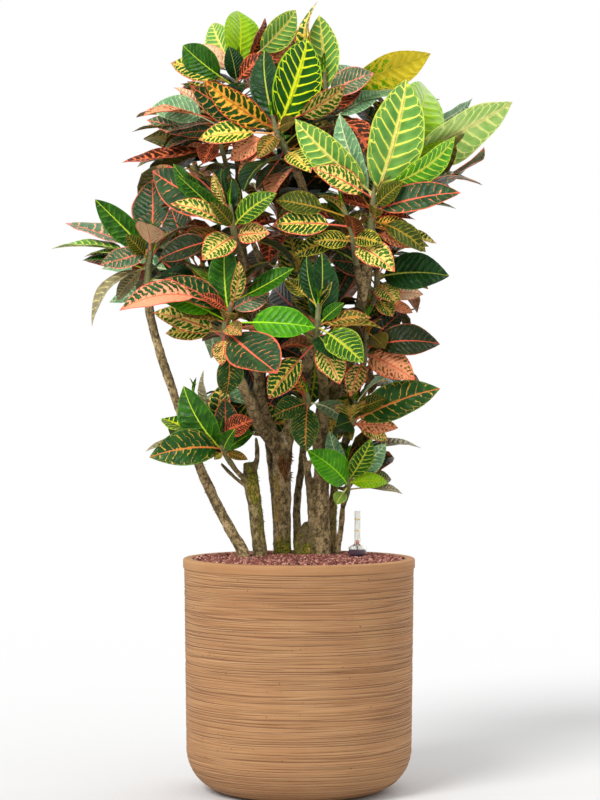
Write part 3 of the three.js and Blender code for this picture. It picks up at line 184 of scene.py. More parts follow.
# Stems: the trunk each belongs to, its route from below or from its fork as [x, z, depth, width] seen from
# the front, and the shoot on its end with that shoot's core.
STEMS = [
    ["trunk_far_left",
     [[-84, 355, 17, 20], [-100, 385, 17, 17], [-124, 430, 15, 16], [-151, 490, 12, 15],
      [-179, 570, 8, 14], [-210, 660, 2, 14], [-225, 720, -4, 14], [-228, 752, -8, 13]],
     "shoot_far_left", [[-228, 780, -10, 11], [-225, 808, -10, 10], [-222, 836, -8, 6]]],
    ["trunk_far_left", [[-151, 490, 12, 12], [-158, 520, 40, 10], [-160, 552, 74, 9]],
     "shoot_back_low_left", [[-162, 574, 98, 9], [-160, 600, 112, 6]]],
    ["trunk_mossy_left",
     [[-59, 355, 45, 24], [-63, 395, 44, 22], [-67, 430, 43, 22], [-73, 470, 42, 24], [-75, 494, 42, 20]]],
    ["trunk_mossy_left", [[-74, 462, 42, 10], [-90, 476, 30, 9], [-104, 494, 14, 9]],
     "shoot_low_left", [[-112, 508, 2, 9], [-116, 520, -6, 9], [-118, 540, -10, 5]]],
    ["trunk_mossy_left", [[-76, 456, 42, 7], [-96, 470, 42, 6], [-118, 492, 44, 5]]],
    ["trunk_mossy_left", [[-68, 476, 42, 9], [-63, 504, 34, 8], [-65, 532, 24, 5]]],
    ["trunk_main",
     [[-25, 355, 89, 28], [-25, 400, 89, 27], [-25, 450, 88, 28], [-25, 500, 86, 30],
      [-16, 538, 80, 22], [0, 572, 66, 20], [8, 612, 52, 20], [14, 652, 42, 19], [20, 700, 34, 18],
      [21, 760, 26, 17], [20, 815, 18, 16], [14, 872, 6, 14], [0, 926, -8, 13], [-12, 950, -14, 12]],
     "shoot_top", [[-24, 974, -18, 11], [-34, 994, -20, 10], [-40, 1018, -20, 6]]],
    ["trunk_main", [[-25, 506, 86, 17], [-24, 528, 76, 14]]],
    ["trunk_main",
     [[-25, 500, 86, 20], [-40, 522, 64, 18], [-60, 550, 30, 18], [-76, 590, -10, 17],
      [-92, 624, -48, 16], [-106, 656, -80, 15], [-110, 674, -92, 13]],
     "shoot_front_left", [[-112, 696, -106, 11], [-106, 718, -112, 10], [-99, 744, -114, 6]]],
    ["trunk_main",
     [[-25, 500, 86, 20], [-42, 545, 78, 18], [-57, 585, 58, 17], [-61, 640, 26, 16],
      [-63, 700, -6, 14], [-76, 760, -40, 12], [-90, 812, -70, 11]],
     "shoot_left", [[-96, 832, -80, 10], [-100, 852, -88, 10], [-104, 884, -92, 6]]],
    ["trunk_main",
     [[-63, 700, -6, 12], [-50, 740, 6, 10], [-60, 800, 22, 9], [-84, 860, 30, 9],
      [-104, 920, 26, 8], [-114, 958, 20, 8]],
     "shoot_upper_left", [[-119, 978, 18, 8], [-123, 996, 17, 8], [-126, 1020, 18, 5]]],
    ["trunk_main", [[0, 566, 66, 10], [8, 572, 36, 9], [12, 578, 8, 9]],
     "shoot_inner", [[14, 586, -12, 8], [12, 600, -26, 6]]],
    ["trunk_behind_main",
     [[-31, 362, 132, 16], [-36, 440, 132, 15], [-45, 520, 130, 14], [-60, 620, 124, 13],
      [-75, 740, 122, 12], [-88, 860, 110, 11], [-93, 960, 96, 10], [-94, 1028, 86, 9]],
     "shoot_top_back_left", [[-94, 1050, 82, 9], [-94, 1070, 80, 8], [-93, 1096, 80, 5]]],
    ["trunk_behind_main", [[-60, 620, 124, 10], [-98, 674, 144, 9], [-132, 720, 160, 8]],
     "shoot_back_left", [[-142, 742, 166, 8], [-146, 764, 170, 8], [-146, 792, 172, 5]]],
    ["trunk_behind_main", [[-75, 740, 122, 10], [-56, 790, 150, 9], [-38, 832, 172, 8]],
     "shoot_back_middle", [[-32, 850, 180, 8], [-30, 872, 184, 8], [-28, 900, 186, 5]]],
    ["trunk_behind_main", [[-88, 860, 110, 9], [-122, 898, 132, 8], [-146, 924, 146, 8]],
     "shoot_back_upper_left", [[-156, 940, 152, 8], [-160, 960, 156, 8], [-160, 988, 158, 5]]],
    ["trunk_slender_dark",
     [[-2, 372, 112, 14], [-3, 430, 112, 12], [4, 490, 116, 12], [10, 560, 130, 11],
      [14, 620, 150, 10], [16, 668, 168, 9]],
     "shoot_back_low_middle", [[17, 690, 176, 8], [18, 712, 180, 8], [18, 740, 182, 5]]],
    ["trunk_right",
     [[36, 355, 78, 27], [35, 400, 78, 24], [34, 480, 77, 23], [33, 540, 74, 23], [40, 582, 70, 22],
      [59, 606, 62, 19], [75, 642, 52, 18], [86, 700, 34, 17], [96, 750, 4, 16], [104, 796, -28, 15],
      [107, 824, -44, 14]],
     "shoot_right", [[109, 846, -54, 12], [112, 880, -60, 11], [114, 916, -60, 6]]],
    ["trunk_right",
     [[20, 362, 74, 16], [21, 400, 74, 16], [18, 442, 75, 14], [12, 482, 76, 11], [7, 508, 77, 5]]],
    ["trunk_right", [[15, 462, 75, 9], [16, 486, 74, 6], [20, 504, 74, 4]]],
    ["trunk_right", [[4, 355, 82, 26], [5, 372, 82, 26], [8, 388, 81, 20], [15, 402, 79, 14]]],
    ["trunk_right", [[38, 570, 72, 18], [37, 606, 34, 16], [33, 636, -18, 15], [28, 662, -68, 13]],
     "shoot_front_middle", [[27, 680, -100, 11], [28, 704, -116, 10], [29, 734, -120, 6]]],
    ["trunk_right", [[96, 750, 4, 12], [90, 776, -26, 11], [86, 796, -48, 10]],
     "shoot_centre", [[84, 814, -64, 10], [80, 840, -74, 9], [66, 884, -80, 6]]],
    ["trunk_right", [[86, 700, 34, 11], [104, 722, 34, 10], [112, 736, 32, 9]],
     "shoot_middle_right", [[116, 752, 30, 9], [118, 774, 28, 9], [118, 800, 26, 5]]],
    ["trunk_right", [[86, 700, 34, 11], [100, 742, 78, 10], [108, 786, 118, 9]],
     "shoot_back_right", [[110, 806, 132, 8], [112, 828, 140, 8], [112, 856, 144, 5]]],
    ["trunk_right",
     [[96, 750, 4, 11], [84, 810, 36, 10], [70, 870, 66, 10], [56, 946, 86, 9], [48, 1002, 92, 9]],
     "shoot_top_back_right", [[44, 1024, 92, 8], [41, 1050, 90, 8], [38, 1084, 88, 5]]],
    ["trunk_right", [[70, 870, 66, 9], [102, 902, 100, 8], [128, 926, 128, 8]],
     "shoot_back_upper_right", [[138, 942, 138, 8], [144, 962, 144, 8], [146, 990, 146, 5]]],
    ["trunk_mossy_right",
     [[50, 362, 118, 15], [52, 440, 116, 13], [57, 480, 108, 13], [72, 532, 84, 12],
      [82, 582, 62, 11], [92, 622, 40, 10]],
     "shoot_low_right", [[97, 642, 28, 10], [101, 668, 18, 9], [103, 704, 12, 5]]],
    ["trunk_mossy_right", [[66, 508, 96, 10], [72, 524, 62, 9], [76, 534, 38, 9]],
     "shoot_lowest_right", [[78, 544, 22, 9], [81, 562, 12, 8], [84, 588, 8, 5]]],
    ["trunk_mossy_right", [[72, 532, 84, 10], [90, 574, 116, 9], [104, 614, 142, 8]],
     "shoot_back_low_right", [[108, 632, 152, 8], [110, 654, 158, 8], [110, 682, 162, 5]]],
    ["trunk_slender_light", [[58, 358, 88, 11], [64, 400, 74, 9], [67, 430, 54, 9], [71, 442, 44, 9]],
     "shoot_small_right", [[74, 452, 34, 8], [74, 468, 26, 8], [74, 494, 22, 5]]],
]

# Leaves read from the front, by shoot: look, [x and z where the blade shows first, x and z of its tip,
# width, lean of the tip (-1 to the front, 1 to the back), arch]. Arch may be left out. In 40 rows the
# arch or the width, 39 arches and 20 widths in all, wasn't read: a program fitted it to the outline.
LEAVES = {
    "shoot_top": [
        ["lime", -25, 1010, 13, 1135, 75, 0.5], ["dark", -39, 1005, -53, 1117, 45, 0.7],
        ["gold", -50, 1003, -143, 1070, 45, -0.5], ["dark_loops", -50, 1000, -165, 1062, 45, 0.2],
        ["under", -52, 1000, -3, 1010, 25, -0.8], ["yellow_net", -32, 958, 18, 932, 38, -0.8],
        ["olive_gold", -35, 990, -62, 953, 30, -0.8], ["yellow_net", -85, 985, -152, 982, 38, -0.4],
        ["salmon", -68, 980, -104, 950, 35, -0.2], ["salmon", -85, 960, -93, 925, 20, 0.3],
        ["maroon_green", -75, 940, -65, 905, 26, -0.1, -0.04], ["yellow_pink", 22, 1018, 70, 1063, 35, 0.2],
    ],
    "shoot_top_back_left": [
        ["green", -135, 1070, -176, 1124, 52, 0.3, 0.1], ["dark", -97, 1070, -106, 1123, 33, -0.3],
        ["peach", -115, 1095, -167, 1118, 40, -0.4], ["maroon", -95, 1065, -28, 1103, 35, -0.4, 0.3],
        ["plain_lime", -79, 1085, -92, 1177, 60, 0.6, 0.14], ["pale", -92, 1100, -132, 1158, 45, 0.4],
        ["pale", -40, 1117, -4, 1177, 45, 0.3, 0.14], ["maroon", -60, 1120, -50, 1165, 20, 0.8],
    ],
    "shoot_top_back_right": [
        ["pale", 55, 1060, 30, 1170, 55, 0.3, -0.04],
        ["yellow_net", 42, 1075, 26, 1190, 22, 0.7, 0.18], ["grey_pink", 35, 1100, -12, 1132, 24, -0.3],
        ["grey_pink", 34, 1050, 113, 1082, 45, -0.2], ["maroon", 62, 1020, 98, 1070, 35, -0.5],
        ["grey_green", 70, 1015, 125, 1052, 35, -0.6], ["yellow", 100, 1050, 200, 1110, 54, 0.3, -0.04],
    ],
    "shoot_right": [
        ["pale", 125, 910, 163, 1073, 86, 0.1], ["pale", 108, 912, -7, 1012, 55, -0.2],
        ["grey_green", 112, 912, 60, 1020, 40, 0.4], ["fresh", 150, 925, 237, 986, 38, -0.1, 0.14],
        ["plain_lime", 175, 935, 190, 1066, 88, 1.4, 0.18],
        ["grey_pink", 190, 931, 277, 915, 21, 0.3, 0.1], ["under", 175, 930, 256, 990, 46, 1.2],
        ["dark_pink", 215, 948, 281, 967, 22, 1.8], ["palest", 205, 968, 325, 1036, 66, 0.8, -0.04],
        ["dark_pink", 121, 877, 244, 902, 46, -0.5], ["gold", 113, 864, 167, 854, 22, -0.6],
        ["olive", 144, 851, 192, 812, 35, -0.2, 0.18], ["yellow_net", 160, 850, 208, 826, 18, 0.4, 0],
        ["salmon", 130, 845, 180, 820, 25, -0.6, -0.04], ["maroon", 104, 881, 45, 894, 18, -0.6],
        ["olive", 104, 887, 158, 918, 30, -0.9], ["yellow_pink", 83, 896, 20, 939, 38, -0.2],
    ],
    "shoot_centre": [
        ["yellow_pink", 87, 834, 145, 782, 45, -0.7, 0.14], ["net", 87, 839, 126, 825, 30, -0.5],
        ["net", 83, 839, 22, 828, 30, -0.7], ["net", 53, 834, -8, 807, 32, -0.4],
        ["olive", 27, 912, -36, 890, 38, -0.2], ["net_pink", 35, 867, -40, 853, 42, -0.3],
        ["gold", 27, 819, -46, 834, 25, 0.3],
    ],
    "shoot_upper_left": [
        ["grey_green", -145, 1033, -224, 1029, 45, -0.3, 0.18],
        ["grey_pink", -150, 985, -230, 1012, 35, -0.1, -0.04],
        ["maroon", -165, 965, -267, 949, 23, 0, -0.04], ["dark_pink", -130, 990, -183, 990, 25, -0.8],
        ["maroon", -160, 980, -145, 945, 35, -0.4], ["peach", -160, 1060, -189, 1061, 20, 0.5],
        ["salmon", -155, 950, -182, 958, 20, 0.2],
    ],
    "shoot_left": [
        ["green", -105, 854, -183, 926, 35, -0.6, -0.04], ["dark_pink", -125, 875, -223, 934, 62, -0.2],
        ["yellow_pink", -116, 855, -194, 885, 26, -0.8],
        ["green_veined", -102, 851, -34, 901, 38, -0.5, 0.14],
        ["yellow_pink", -116, 884, -130, 932, 18, -0.3], ["dark", -108, 893, -118, 938, 18, 0.3],
        ["dark", -80, 869, -102, 922, 30, 0.5], ["olive", -106, 857, -133, 887, 25, -0.9],
        ["maroon", -133, 855, -208, 881, 20, 0.6], ["green", -121, 925, -191, 944, 25, 1.3],
        ["yellow_pink", -165, 951, -217, 940, 20, 1.6, -0.04], ["red", -94, 831, -44, 840, 35, -0.4],
        ["yellow_pink", -97, 836, -146, 800, 45, -0.7], ["maroon_green", -160, 830, -213, 800, 40, 0.3],
    ],
    "shoot_far_left": [
        ["green", -225, 822, -309, 891, 44, -0.2, -0.04],
        ["grey_pink", -255, 822, -353, 857, 30, 0.3, 0], ["pale", -285, 825, -373, 819, 15, 0.5, 0.04],
        ["grey_pink", -230, 815, -300, 793, 35, -0.4, -0.04], ["olive", -205, 799, -262, 838, 26, -0.7],
        ["grey_brown", -246, 799, -314, 700, 20, -0.1, 0.18], ["grey_brown", -249, 797, -276, 738, 26, -0.3],
        ["peach", -203, 821, -232, 856, 45, -0.7], ["maroon", -205, 800, -245, 770, 30, 0.3],
        ["dark_pink", -212, 850, -222, 922, 64, 0.4, -0.04],
    ],
    "shoot_front_left": [
        ["green", -96, 731, -112, 826, 46, 0.3], ["dark_loops", -120, 735, -202, 772, 40, -0.3],
        ["yellow_pink", -90, 734, -90, 798, 22, 0.1], ["grey_pink", -99, 724, -44, 750, 40, 0.2],
        ["fresh_green", -147, 722, -217, 751, 38, -0.1], ["yellow_pink", -138, 675, -220, 721, 38, 0.1],
        ["maroon", -114, 728, -151, 748, 18, -0.8], ["red", -120, 708, -87, 686, 30, -0.6],
        ["red", -96, 678, -117, 640, 28, -0.5], ["dark_pink", -79, 692, -33, 630, 73, -0.9, -0.04],
        ["fresh_green", -51, 695, 25, 698, 50, -0.5], ["green", -74, 754, -8, 788, 30, 0.3, -0.04],
        ["dark_orange", -92, 650, -110, 595, 42, 0, 0.18],
        ["half_salmon", -197, 762, -271, 725, 38, -0.1, 0.18],
    ],
    "shoot_front_middle": [
        ["dark", 28, 708, 35, 810, 49, 0.4], ["dark", 15, 735, 11, 806, 24, 0.2],
        ["green", 30, 712, 68, 735, 22, -0.3], ["olive_gold", 26, 707, 109, 713, 24, -0.4],
        ["dark", 16, 691, 55, 648, 38, -0.7], ["yellow_pink", 45, 700, 90, 670, 30, -0.6],
        ["green_veined", 59, 706, 97, 645, 50, -0.2], ["yellow_pink", 32, 660, 62, 612, 45, -0.5],
        ["net", -4, 737, -22, 770, 25, 0.2], ["net_pink", -22, 655, -46, 590, 45, -0.2],
    ],
    "shoot_middle_right": [
        ["dark", 115, 788, 227, 776, 61, -0.3, 0.14], ["dark_pink", 96, 796, 47, 799, 48, -0.2],
        ["yellow_pink", 115, 769, 150, 733, 38, -0.8], ["peach", 130, 738, 188, 748, 28, 0.1],
        ["salmon", 121, 703, 172, 720, 20, -0.1, -0.04], ["net_pink", 106, 730, 142, 714, 30, -0.4],
    ],
    "shoot_low_right": [
        ["maroon_green", 105, 690, 213, 673, 52, -0.3, 0.18], ["under", 102, 708, 130, 666, 35, -0.5],
        ["salmon", 100, 668, 175, 619, 50, -0.6], ["red", 102, 640, 77, 593, 34, -0.7],
    ],
    "shoot_lowest_right": [
        ["dark_orange", 85, 565, 213, 606, 58, -0.3, 0.1], ["olive", 77, 579, 133, 591, 28, -0.6],
        ["salmon", 87, 558, 150, 546, 30, -0.4], ["yellow_pink", 95, 550, 135, 527, 25, -0.2],
        ["dark", 77, 564, 57, 548, 35, -0.5],
    ],
    "shoot_small_right": [
        ["fresh_green", 73, 468, 13, 512, 49, -0.5, 0.18], ["grey_green", 73, 468, 45, 542, 30, 0.1],
        ["grey_green", 73, 468, 132, 522, 39, -0.4, -0.04], ["green_veined", 73, 468, 110, 530, 35, 0.3],
        ["plain_lime", 73, 468, 135, 463, 26, -0.5, 0.18], ["olive", 112, 482, 140, 469, 25, 0.1],
        ["grey_brown", 112, 525, 184, 517, 13, 0.5, 0.14], ["pale", 54, 463, 56, 430, 22, -0.4],
    ],
    "shoot_low_left": [
        ["green", -117, 516, -175, 609, 56, 0.2, 0.18],
        ["dark_orange", -117, 516, -226, 502, 57, -0.3, 0.18],
        ["dark_pink", -115, 522, -112, 591, 40, 0.1], ["maroon", -113, 545, -70, 558, 35, -0.3],
        ["green", -117, 516, -97, 544, 25, -0.6], ["green", -117, 516, -68, 540, 22, -0.5],
        ["lime", -179, 539, -208, 562, 28, 0.3, -0.04], ["net_pink", -117, 516, -117, 614, 40, 0.6],
    ],
    "shoot_inner": [
        ["dark_orange", 6, 580, -39, 564, 38, -0.3], ["dark_orange", 14, 571, 11, 510, 45, -0.2],
        ["gold", 0, 600, -18, 636, 18, 0.2],
    ],
}

# Leaves that the front hides, by shoot: how many, the heading they spread about, seen from above, and
# the angle of that spread, in degrees.
HIDDEN_LEAVES = {
    "shoot_top": [4, 80, 200], "shoot_top_back_left": [4, 105, 230], "shoot_top_back_right": [4, 75, 230],
    "shoot_right": [3, 60, 180], "shoot_centre": [2, 75, 120], "shoot_upper_left": [4, 110, 180],
    "shoot_left": [2, 110, 150], "shoot_far_left": [5, 120, 220], "shoot_front_left": [2, 110, 140],
    "shoot_front_middle": [2, 80, 140], "shoot_middle_right": [4, 60, 200], "shoot_low_right": [4, 60, 200],
    "shoot_lowest_right": [3, 70, 180], "shoot_small_right": [3, 80, 180], "shoot_low_left": [4, 110, 200],
    "shoot_inner": [3, 90, 200],
    "shoot_back_low_left": [9, 110, 360], "shoot_back_left": [10, 110, 360],
    "shoot_back_middle": [10, 90, 360], "shoot_back_upper_left": [10, 110, 360],
    "shoot_back_low_middle": [10, 90, 360], "shoot_back_right": [10, 70, 360],
    "shoot_back_upper_right": [10, 70, 360], "shoot_back_low_right": [10, 70, 360],
}
HIDDEN_LENGTH = [105, 160]
HIDDEN_WIDTH = [0.38, 0.48]
HIDDEN_RISE = [-28, 62]
HIDDEN_ARCH = 0.14
HIDDEN_TAPER = 0.25
HIDDEN_SWAY = 24
HIDDEN_TURN = 0.9
HIDDEN_TWIST = 0.3
HIDDEN_ROOTS = [0.05, 0.9]
HIDDEN_PETIOLE = 0.12
HIDDEN_TRIES = [[0, 0], [14, 0], [-14, 0], [0, 16], [0, -16], [26, 10], [-26, 10], [40, -8], [-40, -8]]
HIDDEN_SCALES = [1, 0.82, 0.66]
INSIDE_SHARES = [0.45, 0.7]
COVER_SHARES = [0.4, 0.6, 0.8, 1.0]
SHOWN_SHARES = [0.3, 0.4, 0.5, 0.6, 0.7, 0.8, 0.9]
HIDDEN_LOOKS = ["dark", "green", "dark_pink", "net", "net_pink", "dark_orange", "olive", "green_veined",
                "yellow_net", "dark", "grey_green", "maroon"]

# Leaves deeper in the crown, all round each shoot's core and the last stretch of its stem, by the same rule.
INNER_COUNT = 16
INNER_SPREAD = [90, 300]
INNER_TRIES = [[0, 0], [24, 10], [-24, 10], [45, -8], [-45, -8]]
INNER_SCALES = [0.95, 0.7, 0.5]
INNER_LOOKS = ["dark", "net_pink", "green", "dark_orange", "maroon", "dark_pink", "net", "olive_gold",
               "salmon", "olive", "dark", "gold", "yellow_net"]
# Painted shade: the colours of leaves deeper in the crown are darkened to this share, for the shade inside
# it.
INNER_PAINTED_SHADE = 0.6

# The heights between which these trunks show among the leaves, and how closely their stems are read.
SHOWN_TRUNKS = ["trunk_main", "trunk_right"]
SHOWN_HEIGHTS = [490, 640]
STEM_SHARES = [step / 40 for step in range(41)]

# Small leaves read from the front, in the columns of LEAVES.
SMALL_LEAVES = {
    "shoot_upper_left": [
        ["olive_gold", -190, 1005, -246, 1017, 14, 0.2], ["grey_pink", -140, 1010, -203, 992, 16, -0.6],
        ["olive", -175, 978, -252, 995, 14, 0.4], ["dark_pink", -175, 975, -206, 966, 15, -0.5],
        ["salmon", -200, 1022, -235, 1019, 15, 0.6],
    ],
    "shoot_far_left": [["green", -280, 800, -327, 800, 16, 0.2], ["pale", -280, 808, -324, 806, 12, 0.7]],
    "shoot_right": [["olive", 150, 885, 237, 879, 12, 0.6], ["maroon", 120, 862, 176, 861, 14, -0.1]],
    "shoot_front_left": [["olive_gold", -120, 719, -176, 715, 14, -0.5]],
    "shoot_low_right": [["olive_gold", 95, 645, 105, 596, 16, -0.4]],
    "shoot_small_right": [["grey_brown", 125, 460, 157, 447, 12, 0.3]],
    "shoot_low_left": [
        ["grey_brown", -190, 529, -232, 512, 13, 0.4], ["yellow_net", -99, 515, -128, 498, 14, -0.6],
        ["olive_gold", -110, 512, -77, 498, 16, -0.5], ["grey_brown", -153, 590, -146, 633, 13, 0.5],
    ],
}

# Leaves that close the crown where the front shows no gap: shoot, then the columns of LEAVES up to lean.
# These rows weren't read from the front: a search program chose them all.
BEHIND_LEAVES = [
    ["shoot_front_left", "yellow_net", -140, 694, -202, 689, 34, 0.5],
    ["shoot_back_low_middle", "maroon_green", -1, 712, -40, 761, 58, 1.3],
    ["shoot_back_left", "dark_pink", -171, 819, -194, 880, 58, 1.3],
    ["shoot_back_upper_right", "grey_green", 212, 1001, 263, 1042, 34, 1.3],
    ["shoot_back_middle", "maroon_green", -5, 883, 54, 957, 58, -0.2],
    ["shoot_top_back_left", "yellow_net", -135, 1070, -194, 1098, 46, 0.5],
    ["shoot_back_low_middle", "yellow_net", -1, 781, -14, 844, 58, 0.1],
    ["shoot_back_low_left", "dark_orange", -133, 575, -40, 577, 58, 0.5],
    ["shoot_back_left", "maroon_green", -97, 660, -59, 591, 58, 0.9],
    ["shoot_back_left", "grey_green", -139, 714, -132, 652, 58, 1.3],
    ["shoot_back_low_middle", "maroon_green", -19, 622, -64, 538, 58, 0.1],
    ["shoot_back_low_left", "net_pink", -73, 560, -9, 549, 58, 0.5],
    ["shoot_back_left", "maroon_green", -167, 763, -241, 824, 58, 1.3],
    ["shoot_back_low_right", "net", 92, 616, 32, 557, 58, 1.3],
    ["shoot_back_low_right", "yellow_net", 75, 584, 21, 506, 58, 0.1],
    ["shoot_top_back_left", "salmon", -61, 1081, 7, 1147, 46, 1.3],
    ["shoot_back_middle", "maroon_green", -18, 950, -10, 1015, 46, -0.2],
    ["shoot_front_left", "maroon_green", -50, 673, 10, 650, 34, 0.9],
    ["shoot_back_left", "grey_green", -222, 739, -287, 737, 34, -0.2],
    ["shoot_low_right", "maroon_green", 118, 670, 157, 722, 34, 0.9],
    ["shoot_back_upper_right", "yellow_net", 72, 982, 17, 1017, 58, 1.3],
    ["shoot_back_left", "grey_green", -237, 770, -299, 788, 46, 0.9],
    ["shoot_far_left", "salmon", -262, 787, -326, 801, 34, 1.3],
    ["shoot_top_back_right", "grey_green", 85, 1036, 161, 1059, 34, 0.9],
]
# Painted shade: the colours of these leaves behind the front are darkened to this share, as they lie in
# shade.
BEHIND_PAINTED_SHADE = 0.8

# Looks of a leaf: colour between the veins, deeper colour there, veins, midrib, margin and tip, then how far
# the veins' colour spreads into the cells (0 to 0.5), how unevenly (0 to 1) and how much of it fades (0 to
# 1). A last value under 0 fills the outer half with the veins' colour instead, and one of -1 fills one side.
# Colours were chosen one by one. A program then scaled those of 22 looks towards mean colours in the photo.
LOOKS = {
    "lime": ["#1e5d03", "#134903", "#d6e514", "#eaf21c", "#9ecd15", 0.075, 0.1, 0.0],
    "plain_lime": ["#88b401", "#74a101", "#a1c307", "#bad211", "#90b704", 0.06, 0.3, 0.3],
    "pale": ["#78a94b", "#5c963c", "#e6e65f", "#fbee81", "#c8db51", 0.07, 0.1, 0.0],
    "palest": ["#bce07c", "#9ed060", "#f2f690", "#f8fa98", "#e6f28a", 0.085, 0.2, 0.1],
    "fresh": ["#66b428", "#4a9c20", "#d8f24a", "#eef85a", "#c0e83e", 0.07, 0.2, 0.1],
    "green": ["#2f640c", "#1d4a07", "#5c9018", "#c3dc37", "#497a13", 0.03, 0.5, 0.6],
    "fresh_green": ["#4c9507", "#377d05", "#6bb510", "#a6e522", "#5fa50e", 0.04, 0.4, 0.4],
    "green_veined": ["#346713", "#22510c", "#aebc32", "#cfd03f", "#839f26", 0.07, 0.4, 0.1],
    "dark": ["#1a4418", "#113110", "#3e6a25", "#b8c34a", "#28511b", 0.03, 0.7, 0.7],
    "dark_loops": ["#154517", "#0c300f", "#cb9048", "#db6442", "#c3643e", 0.04, 0.8, 0.3],
    "dark_pink": ["#36542e", "#254123", "#f08a5c", "#f87456", "#e86a4c", 0.03, 0.6, 0.75],
    "dark_orange": ["#285319", "#1b4113", "#cea240", "#e38542", "#5d782b", 0.04, 0.7, 0.6],
    "grey_green": ["#83af7e", "#679366", "#cdecae", "#fcfcc1", "#a0c88d", 0.05, 0.6, 0.4],
    "grey_pink": ["#63835d", "#44694a", "#fcae85", "#fc8c67", "#fc8c74", 0.05, 0.8, 0.4],
    "gold": ["#2b540f", "#1a400b", "#faaf38", "#f09036", "#e7592c", 0.13, 0.7, 0.0],
    "olive_gold": ["#515a1b", "#3c4515", "#bf8d39", "#c98541", "#b15a30", 0.12, 0.8, 0.1],
    "net": ["#1f4d12", "#123b0c", "#d9bd42", "#e2a646", "#b3aa34", 0.1, 0.8, 0.1],
    "net_pink": ["#29621e", "#1a4e13", "#fcdd5c", "#fc7859", "#fc765e", 0.1, 0.8, 0.1],
    "yellow_net": ["#387114", "#225a0d", "#fce35f", "#fcb45c", "#fc825f", 0.15, 0.8, 0.0],
    "yellow_pink": ["#41781d", "#2c6215", "#fcd772", "#fa785c", "#f46c50", 0.17, 0.9, 0.0],
    "yellow": ["#98cc0c", "#6cb00a", "#fce236", "#fce83c", "#f8dc2e", 0.26, 0.9, -0.3],
    "salmon": ["#8e4820", "#58641a", "#fba272", "#fa7c58", "#f86e48", 0.36, 0.85, 0.0],
    "peach": ["#f6a878", "#d09056", "#fcd0a4", "#f8906c", "#fa8264", 0.44, 0.7, 0.0],
    "half_salmon": ["#2b571e", "#1b4115", "#fc9f76", "#fc7959", "#fc6353", 0.12, 0.9, -1.0],
    "maroon": ["#602c14", "#402412", "#f07648", "#f06c40", "#dc5834", 0.09, 0.9, 0.2],
    "maroon_green": ["#1f3011", "#15260d", "#5c4c1f", "#dc5c3f", "#8d472a", 0.03, 0.7, 0.5],
    "red": ["#427027", "#2b581e", "#fabf6c", "#fa4f50", "#fa4f4c", 0.2, 1.0, 0.0],
    "under": ["#5e5316", "#4a4211", "#7f691e", "#b88a2f", "#7d531d", 0.03, 0.6, 0.5],
    "olive": ["#425110", "#313f0b", "#8f841d", "#bb8c2b", "#766e1a", 0.06, 0.7, 0.3],
    "grey_brown": ["#958c63", "#756f4d", "#d4c284", "#d8c488", "#a69768", 0.05, 0.6, 0.4],
}
LEAF_TONE = 0.95

# What grows on a trunk, and the shade painted on it: trunk, kind, how much, [middle, half of its full height,
# half of all its height], and, where it grows on one side only, [1 for the right or -1 for the left, how far
# that way it starts, and how far that way it is full].
GROWTH = [
    ["trunk_main", "gold", 1.0, [432, 34, 44], [-1, 24, 33]],
    ["trunk_main", "moss", 0.75, [432, 34, 44], [-1, 24, 33]],
    ["trunk_main", "moss", 0.95, [350, 12, 40]],
    ["trunk_main", "fibre", 0.35, [486, 12, 26]],
    ["trunk_main", "fibre", 0.65, [486, 12, 26], [1, -38, -26]],
    ["trunk_mossy_left", "moss", 0.95, [462, 20, 34], [1, -92, -72]],
    ["trunk_mossy_left", "moss", 0.75, [430, 45, 75], [1, -68, -58]],
    ["trunk_mossy_left", "gold", 0.3, [462, 10, 30]],
    ["trunk_mossy_right", "moss", 0.95, [410, 50, 90], [1, 50, 60]],
    ["trunk_right", "moss", 0.42, [350, 30, 62], [-1, -34, -16]],
    ["trunk_right", "moss", 0.3, [350, 10, 50]],
    ["trunk_right", "moss", 0.5, [610, 20, 60]],
    # Painted shade, not a growth: the burl at the right trunk's foot is darkened where shade falls on it.
    ["trunk_right", "painted_shade", 1.0, [350, 44, 66], [-1, -30, -18]],
    ["trunk_far_left", "moss", 0.35, [480, 60, 120]],
]
MOSS_ALL_OVER = 0.1
SAWN_END = {"trunk": "trunk_main", "middle": [-24, 74, 530], "radius": [5, 9], "over": [524, 529]}
FIBRE_KNOT = {"trunk": "trunk_right", "x": -6, "z": 387, "radius": [4, 9]}

ROOT = "root"


# ---- Small sums ----
def unit(vector):
    return vector / math.sqrt(float(vector @ vector))


def seen(x, z, depth):
    """The place at a depth that covers a reading of the front."""
    scale = (EYE_DISTANCE + depth) / EYE_DISTANCE
    return np.array([x * scale, depth, EYE_HEIGHT + (z - EYE_HEIGHT) * scale])


def draws(seed):
    """Draws between 0 and 1, the same every time."""
    state = seed
    while True:
        state = (state * 1664525 + 1013904223) % 4294967296
        yield state / 4294967296


def eased(value, low, high):
    """0 up to low, 1 from high, and a smooth rise between them."""
    share = np.clip((value - low) / (high - low), 0, 1)
    return share * share * (3 - 2 * share)


# ---- Stems and the lines that they follow ----
def line_of(stem):
    rows = stem[1] + (stem[3] if len(stem) > 2 else [])
    places = [seen(x, z, depth) for x, z, depth, _ in rows]
    widths = [row[3] for row in rows]
    last = len(places) - 1
    ways = [unit(places[min(last, i + 1)] - places[max(0, i - 1)]) for i in range(last + 1)]
    return places, widths, ways, len(stem[1]) - 1


def is_rooted(stem):
    """Whether a stem comes up from the bed, and not from a fork."""
    return stem[1][0][1] < ROOTED_BELOW


def point_at(line, share):
    reach = share * (len(line) - 1)
    index = min(len(line) - 2, math.floor(reach))
    return line[index] + (line[index + 1] - line[index]) * (reach - index)


def core_line(stem):
    """The line that a shoot's leaves grow from: its core above its socket."""
    places, _, _, end = line_of(stem)
    line = places[end:]
    return [line[0] + unit(line[1] - line[0]) * CORE_SOCKET, *line[1:]]


